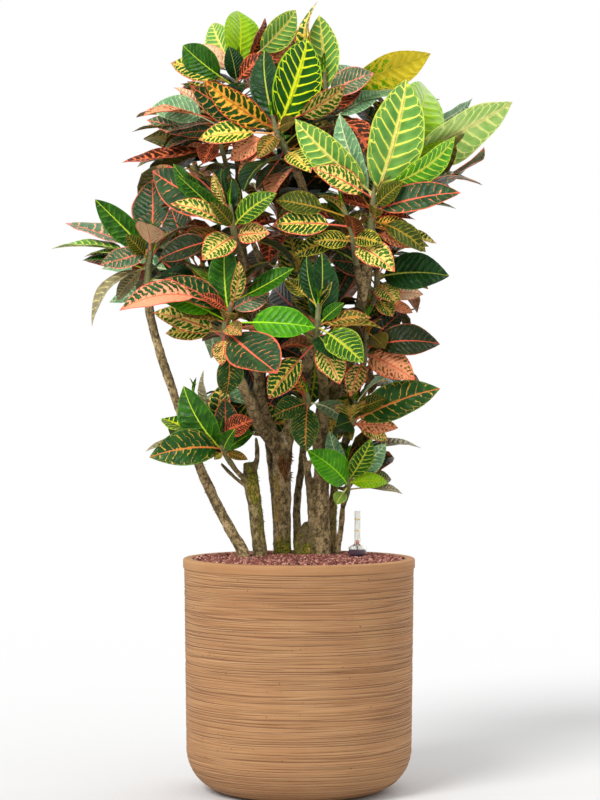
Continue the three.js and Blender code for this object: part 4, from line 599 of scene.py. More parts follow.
# ---- Leaves: a petiole and a pointed blade on an arched midrib, with its halves folded up along it ----
def make_leaf(root, tip, side, width, petiole, arch, twist):
    along = unit(tip - root)
    length = math.sqrt(float((tip - root) @ (tip - root)))
    return {"root": root, "length": length, "along": along, "side": side, "normal": np.cross(along, side),
            "width": width, "petiole": petiole, "arch": arch, "twist": twist}


def midrib(leaf, share):
    share = np.asarray(share, float)[..., None]
    bow = leaf["arch"] * leaf["length"] * 4 * share * (1 - share)
    return leaf["root"] + leaf["along"] * leaf["length"] * share + leaf["normal"] * bow


def half_width(leaf, share):
    blade = np.maximum(0, (share - leaf["petiole"]) / (1 - leaf["petiole"]))
    height, from_root, from_tip = BLADE_OUTLINE
    outline = height * blade ** from_root * np.maximum(0, 1 - blade) ** from_tip
    return PETIOLE_WIDTH / 2 * (1 - blade) + (leaf["width"] - PETIOLE_WIDTH) / 2 * outline


def turned_axes(leaf, share):
    """A leaf's side and normal where its twist has turned them, at shares of its length."""
    turn = (leaf["twist"] * (np.asarray(share, float) - TWIST_PIVOT))[..., None]
    side = leaf["side"] * np.cos(turn) + leaf["normal"] * np.sin(turn)
    normal = leaf["normal"] * np.cos(turn) - leaf["side"] * np.sin(turn)
    return side, normal


def section(leaf, share, extra):
    """The right edge, rib and left edge of a leaf at a share of its length, and its normal there."""
    side, normal = turned_axes(leaf, share)
    half = half_width(leaf, share) + extra
    middle = midrib(leaf, share)
    raised = middle + normal * half * math.sin(BLADE_FOLD)
    out = side * half * math.cos(BLADE_FOLD)
    return raised + out, middle, raised - out, normal


def stations_of(leaf):
    stations = WIDE_STATIONS if leaf["width"] > WIDE_BLADE else NARROW_STATIONS
    return [leaf["petiole"] + share * (1 - leaf["petiole"]) for share in [0, *stations]]


# ---- Keeping leaves of two shoots clear of each other and of the stems ----
def guard_of(wires, sheet):
    wires, sheet = np.array(wires), np.array(sheet)
    points = np.concatenate([wires.reshape(-1, 3), sheet.reshape(-1, 3)])
    return {"wires": wires, "sheet": sheet, "low": points.min(0), "high": points.max(0)}


def leaf_guard(leaf, shares):
    rows = [section(leaf, share, CLEARANCE / 2) for share in shares]
    tip = midrib(leaf, 1.0) + leaf["along"] * CLEARANCE
    rows.append((tip, tip, tip, rows[-1][3]))
    wires, sheet = [], []
    for index, (right, middle, left, normal) in enumerate(rows):
        post = normal * CLEARANCE
        wires += [[spot - post, spot + post] for spot in (right, middle, left)]
        if index == 0:
            continue
        before = rows[index - 1]
        wires += [[before[key], rows[index][key]] for key in (0, 1, 2)]
        for key in (0, 2):
            wires.append([middle, rows[index][key]])
            sheet += [[before[1], before[key], rows[index][key]], [before[1], rows[index][key], middle]]
    return guard_of(wires, sheet)


def ring(centre, along, width, sides):
    across = unit(np.cross([0.0, 1.0, 0.0], along))
    up = np.cross(along, across)
    angles = [2 * math.pi * side / sides for side in range(sides)]
    return [centre + (across * math.cos(a) + up * math.sin(a)) * (width / 2) for a in angles]


def stem_guard(places, ways, widths):
    wires, sheet = [], []
    rings = [ring(*row, 6) for row in zip(places, ways, [width + 2 * CLEARANCE for width in widths])]
    for index in range(1, len(places)):
        below, above = rings[index - 1], rings[index]
        wires.append([places[index - 1], places[index]])
        for side in range(6):
            onward = (side + 1) % 6
            wires.append([below[side], above[side]])
            sheet += [[below[side], below[onward], above[onward]], [below[side], above[onward], above[side]]]
    return guard_of(wires, sheet)


def pierces(wires, sheet):
    """Whether any of the wires goes through any of the faces of a sheet."""
    start, way = wires[:, None, 0], wires[:, None, 1] - wires[:, None, 0]
    corner = sheet[None, :, 0]
    edge, other = sheet[None, :, 1] - corner, sheet[None, :, 2] - corner
    way_cross = np.cross(way, other)
    scale = (edge * way_cross).sum(-1)
    usable = np.abs(scale) >= 1e-9
    safe = np.where(usable, scale, 1)
    away = start - corner
    away_cross = np.cross(away, edge)
    u = (away * way_cross).sum(-1) / safe
    v = (way * away_cross).sum(-1) / safe
    t = (other * away_cross).sum(-1) / safe
    return bool((usable & (u >= 0) & (v >= 0) & (u + v <= 1) & (t >= 0) & (t <= 1)).any())


def meet(one, two):
    if (one["low"] > two["high"]).any() or (two["low"] > one["high"]).any():
        return False
    return pierces(one["wires"], two["sheet"]) or pierces(two["wires"], one["sheet"])


placed = []
shown = []


def is_clear(leaf, shoot, apart):
    if "guard" not in leaf:
        leaf["guard"] = leaf_guard(leaf, [leaf["petiole"] * 0.5, *stations_of(leaf)])
        leaf["blade"] = leaf_guard(leaf, stations_of(leaf))
    guard, blade = leaf["guard"], leaf["blade"]
    lows = np.array([other["low"] for _, other, _ in placed])
    highs = np.array([other["high"] for _, other, _ in placed])
    beside = ((lows <= guard["high"]) & (highs >= guard["low"])).all(1)
    for other_shoot, other_guard, other_blade in (placed[index] for index in np.flatnonzero(beside)):
        if other_shoot != shoot:
            if meet(guard, other_guard):
                return False
        elif apart and other_blade is not None and meet(blade, other_blade):
            return False
    placed.append((shoot, guard, blade))
    return True


# ---- Placing the leaves ----
def read_leaf(core, row, index, shift):
    """A leaf read from the front: as long as its width asks, so what shows shorter leans to the front or
    back, and turned about its midrib where it shows narrower."""
    show_x, show_z, tip_x, tip_z, width, lean = row[:6]
    arch = row[6] if len(row) > 6 else BLADE_ARCH
    show = seen(show_x, show_z, core[1][1])
    nearest = min(CORE_SHARES, key=lambda share: float(((point_at(core, share) - show) ** 2).sum()))
    golden = index * GOLDEN_SHARE % 1
    root = point_at(core, ROOT_REACH * (golden + (nearest - golden) * NEAREST_WEIGHT))
    flat = seen(tip_x, tip_z, root[1])
    seen_length = math.sqrt(float((flat - root) @ (flat - root)))
    full = LENGTH_TO_WIDTH * width
    reach = max(LEAST_LEAN * seen_length, math.sqrt(max(0, full * full - seen_length * seen_length)))
    tip = seen(tip_x, tip_z, root[1] + lean * reach + shift)
    along = unit(tip - root)
    length = math.sqrt(float((tip - root) @ (tip - root)))
    outwards = unit(np.array([tip[0] - root[0], -30.0, 60.0]))
    side = unit(np.array([-along[2], 0.0, along[0]]))
    if float(np.cross(along, side) @ [0, -0.8, 0.6]) < 0:
        side = -side
    normal = np.cross(along, side)
    cosine = min(math.cos(BLADE_TURN), width / (NARROWEST * length))
    sine = math.sqrt(1 - cosine * cosine) * (-1 if float(side @ outwards) > 0 else 1)
    before_blade = PETIOLE_BEFORE_BLADE * math.sqrt(float((show - root) @ (show - root))) / length
    petiole = min(PETIOLE_SHARES[1], max(PETIOLE_SHARES[0], before_blade))
    side = side * cosine + normal * sine
    return make_leaf(root, tip, side, width / cosine, petiole, arch, LEAN_TWIST * lean)


def from_front(spot):
    """Where a place shows from the front, and how deep it lies."""
    scale = EYE_DISTANCE / (EYE_DISTANCE + spot[1])
    return spot[0] * scale, EYE_HEIGHT + (spot[2] - EYE_HEIGHT) * scale, spot[1]


def inside_crown(spot):
    x, z, _ = from_front(spot)
    inside = False
    for (x0, z0), (x1, z1) in zip([CROWN[-1], *CROWN], CROWN):
        if (z0 > z) != (z1 > z) and x < x0 + (x1 - x0) * (z - z0) / (z1 - z0):
            inside = not inside
    return inside


def hidden_leaf(core, plan, index, chance, change, scale):
    """A leaf that the front hides, by rule: round the core by the golden share, the lower the more it
    hangs."""
    count, towards, spread = plan
    height = (index + 0.5) / count
    swept = (index * GOLDEN_SHARE % 1 - 0.5) * spread
    azimuth = math.radians(towards + swept + (chance[0] - 0.5) * HIDDEN_SWAY + change[0])
    rise_low, rise_high = HIDDEN_RISE
    level_rise = rise_low + (rise_high - rise_low) * height
    rise = math.radians(level_rise + (chance[1] - 0.5) * HIDDEN_SWAY + change[1])
    full = HIDDEN_LENGTH[0] + (HIDDEN_LENGTH[1] - HIDDEN_LENGTH[0]) * chance[2]
    length = full * scale * (1 - HIDDEN_TAPER * height)
    width = length * (HIDDEN_WIDTH[0] + (HIDDEN_WIDTH[1] - HIDDEN_WIDTH[0]) * chance[3])
    along = np.array([math.cos(rise) * math.cos(azimuth), math.cos(rise) * math.sin(azimuth), math.sin(rise)])
    level = np.array([math.sin(azimuth), -math.cos(azimuth), 0.0])
    normal = -np.cross(along, level)
    turn = (chance[4] - 0.5) * HIDDEN_TURN
    side = -level * math.cos(turn) + normal * math.sin(turn)
    root = point_at(core, HIDDEN_ROOTS[0] + HIDDEN_ROOTS[1] * height)
    petiole = HIDDEN_PETIOLE + HIDDEN_PETIOLE * chance[5]
    return make_leaf(root, root + along * length, side, width, petiole, HIDDEN_ARCH, HIDDEN_TWIST * turn)


def covers(leaf):
    """Whether a leaf would lie before one that shows from the front."""
    x, z, depth, radius = np.array(shown).T
    for at_x, at_z, at_depth in (from_front(midrib(leaf, share)) for share in COVER_SHARES):
        if ((at_depth < depth) & (np.hypot(x - at_x, z - at_z) < radius)).any():
            return True
    return False


def stays_inside(leaf):
    """Whether a leaf's rib, edges and tip lie within the crown's outline."""
    edges = [spot for share in INSIDE_SHARES for spot in section(leaf, share, 0)[:3]]
    return all(inside_crown(spot) for spot in [*edges, midrib(leaf, 1.0)])


def place(shoot, look, candidates):
    """The first of some leaves that is clear grows on the shoot, apart from its other blades if it can."""
    candidates = list(candidates)
    for apart in (True, False):
        for leaf in candidates:
            if is_clear(leaf, shoot["name"], apart):
                leaf["look"] = look
                shoot["leaves"].append(leaf)
                return leaf
    return None


def place_read(shoot, row, index):
    steps = [math.ceil(attempt / 2) * (1 if attempt % 2 else -1) for attempt in range(2 * DEPTH_TRIES + 1)]
    leaves = (read_leaf(shoot["core"], row[1:], index, step * DEPTH_STEP) for step in steps)
    leaf = place(shoot, row[0], leaves)
    if leaf:
        shown.extend((*from_front(midrib(leaf, share)), half_width(leaf, share)) for share in SHOWN_SHARES)


def place_hidden(shoot, line, plan, index, chance, tries, look, tone=1):
    changes, scales = tries
    leaves = [hidden_leaf(line, plan, index, chance, change, scale) for scale in scales for change in changes]
    leaf = place(shoot, look, [leaf for leaf in leaves if stays_inside(leaf) and not covers(leaf)])
    if leaf:
        # A tone under 1 darkens the leaf's colours: painted shade for leaves deep in the crown.
        leaf.update(hidden=True, tone=tone)


def chosen_look(looks, chance, index):
    """One of some looks, by a draw and a leaf's number."""
    return looks[int(chance * 997 + index * 5) % len(looks)]


def inner_line(stem):
    """The last stretch of a stem and its core, which leaves deeper in the crown grow from."""
    places, _, _, end = line_of(stem)
    return places[end - 1:]


def grow_shoots():
    shoots = {}
    for stem in STEMS:
        places, widths, ways, end = line_of(stem)
        placed.append((None, stem_guard(places[:end + 1], ways[:end + 1], widths[:end + 1]), None))
        if len(stem) == 2:
            continue
        placed.append((stem[2], stem_guard(places[end:], ways[end:], widths[end:]), None))
        shoots[stem[2]] = {"name": stem[2], "stem": stem, "core": core_line(stem), "leaves": []}
    for name, rows in LEAVES.items():
        for index, row in enumerate(rows):
            place_read(shoots[name], row, index)
    draw = draws(20260)
    for name, plan in HIDDEN_LEAVES.items():
        for index in range(plan[0]):
            chance = [next(draw) for _ in range(6)]
            look = chosen_look(HIDDEN_LOOKS, chance[5], index)
            tries = [HIDDEN_TRIES, HIDDEN_SCALES]
            place_hidden(shoots[name], shoots[name]["core"], plan, index, chance, tries, look)
    for name, rows in SMALL_LEAVES.items():
        for index, row in enumerate(rows):
            place_read(shoots[name], row, index)
    for stem in [stem for stem in STEMS if stem[0] in SHOWN_TRUNKS]:
        places, widths, _, end = line_of(stem)
        for share in STEM_SHARES:
            spot = from_front(point_at(places[:end + 1], share))
            if SHOWN_HEIGHTS[0] < spot[1] < SHOWN_HEIGHTS[1]:
                shown.append((*spot, max(widths) / 2))
    for shoot in shoots.values():
        for index in range(INNER_COUNT):
            chance = [next(draw) for _ in range(6)]
            look = chosen_look(INNER_LOOKS, chance[5], index)
            plan, tries = [INNER_COUNT, *INNER_SPREAD], [INNER_TRIES, INNER_SCALES]
            place_hidden(shoot, inner_line(shoot["stem"]), plan, index, chance, tries, look, INNER_PAINTED_SHADE)
    for index, (name, look, *row) in enumerate(BEHIND_LEAVES):
        leaf = place(shoots[name], look, [read_leaf(shoots[name]["core"], row, index, 0)])
        if leaf:
            # Painted shade: these leaves' colours are darkened, as they lie back in the crown.
            leaf.update(hidden=True, tone=BEHIND_PAINTED_SHADE)
    return shoots


# ---- Materials ----
def colour(code):
    """The linear colour of a hexadecimal one."""
    values = [int(code[i:i + 2], 16) / 255 for i in (1, 3, 5)]
    return [*(v / 12.92 if v <= 0.04045 else ((v + 0.055) / 1.055) ** 2.4 for v in values), 1.0]


class Finish:
    """A material whose nodes are added one by one and joined as they are."""

    def __init__(self, name, roughness, **settings):
        self.material = bpy.data.materials.new(name)
        self.material.use_nodes = True
        self.tree = self.material.node_tree
        self.shader = self.tree.nodes["Principled BSDF"]
        self.shader.inputs["Roughness"].default_value = roughness
        for key, value in settings.items():
            self.shader.inputs[key.replace("_", " ")].default_value = value

    def put(self, socket, value):
        if isinstance(value, bpy.types.NodeSocket):
            self.tree.links.new(value, socket)
        else:
            socket.default_value = value

    def node(self, kind, inputs=(), **settings):
        made = self.tree.nodes.new("ShaderNode" + kind)
        for key, value in settings.items():
            setattr(made, key, value)
        for key, value in dict(inputs).items():
            self.put(made.inputs[key], value)
        return made

    def sum(self, operation, *values):
        return self.node("Math", enumerate(values), operation=operation).outputs[0]

    def times(self, one, two):
        return self.sum("MULTIPLY", one, two)

    def less(self, one, two):
        return self.sum("SUBTRACT", one, two)

    def scaled(self, value, factor, extra):
        """A value times a factor, plus something extra."""
        return self.sum("MULTIPLY_ADD", value, factor, extra)

    def eased(self, value, low, high, start=0.0, end=1.0):
        """start up to low, end from high, and a smooth way between."""
        inputs = {"Value": value, "From Min": low, "From Max": high, "To Min": start, "To Max": end}
        return self.node("MapRange", inputs, interpolation_type="SMOOTHSTEP").outputs[0]

    def mix(self, share, one, two, blend="MIX"):
        inputs = {0: share, 6: one, 7: two}
        return self.node("Mix", inputs, data_type="RGBA", blend_type=blend).outputs[2]

    def place(self, scale=(1, 1, 1), shift=0.0):
        """Object coordinates, stretched and shifted."""
        inputs = {"Vector": self.node("TexCoord").outputs["Object"], "Scale": scale,
                  "Location": (shift, 0, shift)}
        return self.node("Mapping", inputs).outputs[0]

    def noise(self, vector, scale, detail=3.0, rough=0.55):
        inputs = {"Vector": vector, "Scale": scale, "Detail": detail, "Roughness": rough}
        return self.node("TexNoise", inputs).outputs["Fac"]

    def height(self):
        return self.node("SeparateXYZ", {0: self.place()}).outputs[2]

    def attribute(self, name, output="Color"):
        return self.node("Attribute", attribute_name=name).outputs[output]

    def bump(self, height, strength, distance, before=None):
        inputs = {"Height": height, "Strength": strength, "Distance": distance}
        if before is not None:
            inputs["Normal"] = before
        return self.node("Bump", inputs).outputs[0]

    def finish(self, base, normal=None, roughness=None):
        self.put(self.shader.inputs["Base Color"], base)
        if normal is not None:
            self.put(self.shader.inputs["Normal"], normal)
        if roughness is not None:
            self.put(self.shader.inputs["Roughness"], roughness)
        return self.material


def leaf_finish():
    """Leaf: side veins that fork and close in loops near the margin, a midrib and a coloured margin."""
    f = Finish("variegated_leaf", 0.34, Specular_IOR_Level=0.16)
    grown = f.node("SeparateXYZ", {0: f.node("UVMap", uv_map="LeafMap").outputs[0]}).outputs
    metric = f.node("SeparateXYZ", {0: f.node("UVMap", uv_map="VeinMap").outputs[0]}).outputs
    traits = f.node("SeparateColor", {0: f.attribute("traits")}).outputs
    spread, uneven, seed = traits[0], traits[1], traits[2]
    spot = f.node("CombineXYZ", {0: metric[0], 1: metric[1], 2: f.times(seed, 40.0)}).outputs[0]

    across = f.times(f.sum("ABSOLUTE", f.less(grown[0], 0.5)), 2.0)
    signed = f.less(metric[0], 0.5)
    away = f.sum("ABSOLUTE", signed)
    waver = f.less(f.noise(spot, 12.0, 2.5), 0.5)
    offset = f.scaled(f.sum("GREATER_THAN", signed, 0.0), 0.42, f.times(seed, 9.0))

    # Side veins run out at 60 degrees and bend towards the tip. phase counts them.
    climb = f.scaled(away, 0.5, f.times(f.times(away, away), 1.1))
    wild = f.scaled(uneven, 0.1, 0.012)
    height = f.scaled(waver, wild, f.less(metric[1], climb))
    phase = f.scaled(height, f.scaled(seed, 3.0, 9.0), offset)
    cell = f.sum("PINGPONG", phase, 0.5)
    fork_start = f.scaled(f.noise(spot, 20.0, 2.0), 0.5, 0.45)
    fork = f.eased(across, fork_start, 0.98, 0.0, 0.5)
    off_vein = f.sum("ABSOLUTE", f.less(cell, fork))

    # How far the veins' colour spreads into the cells and along the midrib, which is uneven.
    blotch = f.eased(f.noise(spot, 15.0, 3.0, 0.6), 0.36, 0.64, -1.0, 1.0)
    reach = f.times(spread, f.scaled(f.times(blotch, uneven), 0.9, 1.0))
    reach = f.times(reach, f.eased(across, 0.0, 1.0, 1.5, 0.7))
    vein = f.less(1.0, f.eased(off_vein, f.times(reach, 0.72), f.scaled(reach, 1.25, 0.014)))
    centre = f.less(1.0, f.eased(across, f.times(reach, 0.5), f.times(reach, 1.3)))
    faded = f.attribute("traits", "Alpha")
    limit = f.scaled(f.sum("MAXIMUM", faded, 0.0), 0.34, 0.26)
    present = f.eased(f.noise(spot, 8.0, 2.0), f.less(limit, 0.05), f.sum("ADD", limit, 0.06))
    outer = f.eased(f.scaled(waver, 0.4, metric[1]), 0.44, 0.48)
    outer = f.times(outer, f.sum("LESS_THAN", faded, -0.1))
    one_side = f.eased(f.scaled(waver, -0.12, signed), -0.01, 0.01)
    filled = f.mix(f.sum("LESS_THAN", faded, -0.6), outer, one_side)
    filled = f.times(filled, f.sum("LESS_THAN", faded, -0.1))
    vein = f.sum("MAXIMUM", f.times(f.sum("MAXIMUM", vein, centre), present), filled)

    taper = f.eased(metric[1], 0.0, 1.0, 0.013, 0.0055)
    rib = f.less(1.0, f.eased(away, f.times(taper, 0.8), f.times(taper, 1.5)))
    margin = f.eased(f.scaled(waver, 0.12, across), 0.91, 0.97)
    tip = f.eased(f.scaled(waver, 0.3, metric[1]), 0.9, 1.0, 0.0, 0.8)

    deep = f.eased(f.noise(spot, 6.0, 3.0), 0.35, 0.65)
    base = f.mix(deep, f.attribute("body"), f.attribute("deep"))
    base = f.mix(vein, base, f.attribute("veins"))
    base = f.mix(f.sum("MAXIMUM", margin, tip), base, f.attribute("margin"))
    base = f.mix(rib, base, f.attribute("rib"))
    cells = f.eased(off_vein, 0.0, 0.4, 1.12, 0.94)
    shade = f.times(f.eased(f.noise(spot, 110.0, 2.0), 0.3, 0.7, 0.92, 1.06), cells)
    base = f.mix(1.0, base, f.node("CombineColor", {0: shade, 1: shade, 2: shade}).outputs[0], "MULTIPLY")
    dull = f.mix(0.3, base, colour("#6e5426"))
    base = f.mix(f.attribute("under", "Fac"), base, dull)

    pillow = f.sum("POWER", f.times(off_vein, 2.0), 0.6)
    flat = f.eased(across, 0.85, 1.0, 1.0, 0.0)
    relief = f.less(f.times(pillow, flat), f.times(rib, 0.9))
    normal = f.bump(relief, 0.8, 0.0016)
    normal = f.bump(f.noise(spot, 40.0, 2.0), 0.15, 0.0008, normal)
    gloss = f.eased(f.noise(spot, 5.0, 2.0), 0.3, 0.7, 0.28, 0.42)
    return f.finish(base, normal, gloss)


def bark_finish(name, light, mid, dark):
    """Bark: speckled light and dark, with dark leaf scars, painted shade on the burl, and moss and fibres
    where they grow.
    """
    f = Finish(name, 0.85, Specular_IOR_Level=0.2)
    mottle = f.noise(f.place((1, 1, 0.7)), 170.0, 6.0, 0.75)
    patches = f.noise(f.place((1, 1, 0.7), 2.0), 42.0, 5.0, 0.6)
    specks = f.noise(f.place((1, 1, 0.8), 4.0), 430.0, 3.0, 0.6)
    base = f.mix(f.eased(mottle, 0.34, 0.62), colour(dark), colour(mid))
    worn = f.scaled(mottle, 1.1, patches)
    base = f.mix(f.eased(worn, 0.94, 1.22, 0.0, 0.9), base, colour(light))
    base = f.mix(f.eased(specks, 0.5, 0.66, 0.0, 0.7), base, colour(dark))
    drift = f.times(f.noise(f.place(), 26.0, 3.0), 5.0)
    scars = f.sum("PINGPONG", f.scaled(f.height(), 42.0, drift), 0.5)
    scar = f.times(f.eased(scars, 0.0, 0.06, 1.0, 0.0), f.eased(patches, 0.45, 0.6))
    base = f.mix(f.times(scar, 0.6), base, colour("#3c3020"))
    # Painted shade: the burl is darkened where the attribute asks, for the shade that falls there.
    base = f.mix(f.times(f.attribute("painted_shade", "Fac"), 0.72), base, colour("#3c3422"))
    sawn = f.attribute("sawn", "Fac")
    base = f.mix(sawn, base, f.mix(f.eased(mottle, 0.4, 0.6), colour("#7c6a4c"), colour("#d8c8a8")))

    ragged = f.noise(f.place((1, 1, 0.6), 7.0), 120.0, 5.0, 0.7)
    moss = f.eased(f.scaled(f.attribute("moss", "Fac"), 0.42, ragged), 0.74, 0.9, 0.0, 0.95)
    moss_tone = f.mix(f.eased(specks, 0.38, 0.62), colour("#3c3a12"), colour("#8c8826"))
    gold_tone = f.mix(f.eased(specks, 0.38, 0.62), colour("#80602c"), colour("#c8a456"))
    moss_tone = f.mix(f.eased(f.scaled(f.attribute("gold", "Fac"), 0.4, patches), 0.6, 0.75),
                      moss_tone, gold_tone)
    base = f.mix(moss, base, moss_tone)
    fibre = f.eased(f.scaled(f.attribute("fibre", "Fac"), 0.5, ragged), 0.78, 0.94)
    strands = f.noise(f.place((1, 1, 0.25)), 500.0, 3.0)
    base = f.mix(fibre, base, f.mix(f.eased(strands, 0.35, 0.65), colour("#3c2414"), colour("#8c6034")))

    rough = f.scaled(specks, 0.4, f.less(mottle, f.times(scar, 0.5)))
    rough = f.scaled(f.sum("MAXIMUM", moss, fibre), f.times(ragged, 1.2), rough)
    return f.finish(base, f.bump(rough, 0.9, 0.002))


def tuft_finish(name, deep, bright):
    """Moss or fibres, each tuft of its own tone, darker at its foot."""
    f = Finish(name, 0.95, Specular_IOR_Level=0.1)
    speck = f.eased(f.noise(f.place(), 260.0, 2.0), 0.35, 0.65)
    tone = f.scaled(speck, 0.4, f.times(f.attribute("tone", "Fac"), 0.6))
    return f.finish(f.mix(tone, colour(deep), colour(bright)), f.bump(speck, 0.3, 0.0004))


def stem_finish():
    """The young tops of the stems: greenish, with pale pores."""
    f = Finish("young_stem", 0.6)
    spot = f.place()
    base = f.mix(f.eased(f.noise(spot, 90.0), 0.35, 0.65), colour("#5c5a34"), colour("#6f7040"))
    pores = f.eased(f.noise(spot, 520.0, 1.0), 0.62, 0.7)
    base = f.mix(pores, base, colour("#a39a72"))
    return f.finish(base, f.bump(f.noise(spot, 300.0), 0.4, 0.0006))


def pot_finish():
    """Pot: fired clay look, brushed round: long thin dark lines, partly painted shade, with painted
    highlights at their edges, and a few small pits.
    """
    f = Finish("brushed_clay", 0.8, Specular_IOR_Level=0.25)
    spot = f.place()
    brushed = f.less(1.0, f.attribute("smooth", "Fac"))
    tall = f.height()
    lines, pale = 0.0, 0.0
    for number, (pitch, width, depth) in enumerate(BRUSH_LINES):
        drift = f.noise(f.place((2.6, 2.6, 45), 3.7 * number), 1.0, 2.0)
        phase = f.scaled(tall, 1 / (pitch * MM), f.times(drift, 2.2))
        there = f.eased(f.noise(f.place((5, 5, 900 / pitch), 5.3 * number), 1.0, 1.5), 0.43, 0.6)
        there = f.times(f.times(there, depth), brushed)
        share = width / pitch
        # The dark of each line: partly the clay's brush mark, partly painted shade in a groove too fine to
        # cut.
        line = f.eased(f.sum("PINGPONG", phase, 0.5), share * 0.3, share, 1.0, 0.0)
        # A pale edge beside each line: a painted highlight on the groove's raised edge.
        edge = f.sum("PINGPONG", f.sum("ADD", phase, share * 1.6), 0.5)
        lines = f.sum("MAXIMUM", lines, f.times(line, there))
        pale = f.sum("MAXIMUM", pale, f.times(f.eased(edge, share * 0.2, share, 1.0, 0.0), there))

    bands = f.noise(f.place((3, 3, 110)), 1.0, 4.0, 0.65)
    cloud = f.noise(spot, 9.0, 4.0)
    base = f.mix(f.eased(bands, 0.35, 0.65), colour("#9a6e48"), colour("#a87c54"))
    base = f.mix(f.eased(cloud, 0.4, 0.66, 0.0, 0.4), base, colour("#b0885e"))
    # Painted highlights along the lines' edges.
    base = f.mix(f.times(pale, 0.5), base, colour("#c8a27a"))
    # The dark lines: partly brush marks, partly painted shade in the grooves.
    base = f.mix(f.times(lines, 0.8), base, colour("#6e452b"))
    # Painted shade: darker where the brush cut the wall deeper.
    base = f.mix(f.eased(f.attribute("groove", "Fac"), 0.1, 0.9, 0.0, 0.25), base, colour("#7a5334"))
    pits = f.eased(f.noise(spot, 240.0, 1.0), 0.75, 0.78)
    base = f.mix(f.times(pits, 0.7), base, colour("#4a2f1c"))

    height = f.scaled(lines, -0.9, f.times(pale, 0.4))
    height = f.sum("ADD", height, f.times(f.times(bands, brushed), 0.8))
    normal = f.bump(f.less(height, pits), 0.8, 0.0011)
    normal = f.bump(f.noise(spot, 700.0, 3.0), 0.3, 0.0004, normal)
    return f.finish(base, normal)


def pellet_finish():
    """Fired clay pellets, each of its own red-brown, with shade painted dark into the gaps between them."""
    f = Finish("clay_pellets", 0.85, Specular_IOR_Level=0.25)
    tone = f.attribute("tone", "Fac")
    base = f.mix(f.eased(tone, 0.0, 0.55), colour("#43211f"), colour("#864c40"))
    base = f.mix(f.eased(tone, 0.55, 1.0), base, colour("#c89484"))
    grain = f.noise(f.place(), 900.0, 3.0)
    base = f.mix(f.eased(grain, 0.4, 0.7, 0.0, 0.3), base, colour("#a46a58"))
    # Painted shade: the lower a spot lies, the darker, for the shade in the gaps between the pellets.
    low = f.eased(f.height(), BED_TOP * MM, (BED_TOP + PAINTED_GAP_SHADE) * MM, 0.9, 0.0)
    base = f.mix(low, base, colour("#2c1418"))
    return f.finish(base, f.bump(grain, 0.6, 0.0006))


def plastic_finish(name, code, roughness, **settings):
    f = Finish(name, roughness, **settings)
    spot = f.place()
    cloud = f.eased(f.noise(spot, 160.0), 0.35, 0.65, 0.0, 0.18)
    tone = [value * 0.7 for value in colour(code)[:3]] + [1.0]
    base = f.mix(cloud, colour(code), tone)
    return f.finish(base, f.bump(f.noise(spot, 700.0, 2.0), 0.08, 0.0002))


def float_finish():
    """Red plastic, with a pale pin between the float and the bead."""
    f = Finish("red_plastic", 0.3)
    tall = f.height()
    float_top, bead_foot = (GAUGE_FLOAT[1] + 1) * MM, (GAUGE_BEAD[0] - 1) * MM
    pin = f.times(f.sum("GREATER_THAN", tall, float_top), f.sum("LESS_THAN", tall, bead_foot))
    red = f.mix(f.eased(tall, *(end * MM for end in GAUGE_BEAD)), colour("#d81c14"), colour("#ff7a1e"))
    return f.finish(f.mix(pin, red, colour("#a8a4a4")), f.bump(f.noise(f.place(), 700.0, 2.0), 0.08, 0.0002))


def clear_finish():
    """Clear plastic, a little cloudy."""
    f = Finish("clear_plastic", 0.04, Transmission_Weight=0.9, IOR=1.25)
    haze = f.eased(f.noise(f.place(), 60.0), 0.3, 0.7)
    return f.finish(f.mix(haze, colour("#ecebe6"), colour("#faf9f4")))


# ---- Pieces ----
def active():
    return bpy.context.view_layer.objects.active


def keep(piece, name, node=None, finish=None):
    """Names a finished piece and hangs it in the frame."""
    piece.name = name
    piece.data.name = name
    if finish is not None:
        piece.data.materials.clear()
        piece.data.materials.append(finish)
    if node is not None:
        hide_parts(node)
    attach(piece, ROOT)
    piece.select_set(False)
    return piece


def places_of(piece):
    places = np.zeros(len(piece.data.vertices) * 3)
    piece.data.vertices.foreach_get("co", places)
    return places.reshape(-1, 3)


def set_places(piece, places):
    piece.data.vertices.foreach_set("co", np.asarray(places, np.float32).ravel())
    piece.data.update()


def give(piece, name, values):
    """Gives each vertex of a piece its own value."""
    attribute = piece.data.attributes.new(name, "FLOAT", "POINT")
    attribute.data.foreach_set("value", np.asarray(values, np.float32))


def give_colour(piece, name, value):
    """Gives a whole piece one colour, which stays with its vertices when it is joined to others."""
    attribute = piece.data.attributes.new(name, "FLOAT_COLOR", "POINT")
    attribute.data.foreach_set("color", np.tile(np.asarray(value, np.float32), len(piece.data.vertices)))


def only(*pieces):
    """Selects these pieces and nothing else."""
    bpy.ops.object.select_all(action="DESELECT")
    for piece in pieces:
        piece.select_set(True)
    bpy.context.view_layer.objects.active = pieces[0]


def joined(pieces):
    only(*pieces)
    if len(pieces) > 1:
        bpy.ops.object.join()
    return active()


def apply(piece, kind, **settings):
    """Adds a modifier to a piece and applies it."""
    only(piece)
    modifier = piece.modifiers.new(kind.title(), kind)
    for key, value in settings.items():
        setattr(modifier, key, value)
    bpy.ops.object.modifier_apply(modifier=modifier.name)


def moved(piece, centre):
    """Moves a piece's mesh sideways, to a centre in millimetres."""
    set_places(piece, places_of(piece) + np.array([*centre, 0]) * MM)


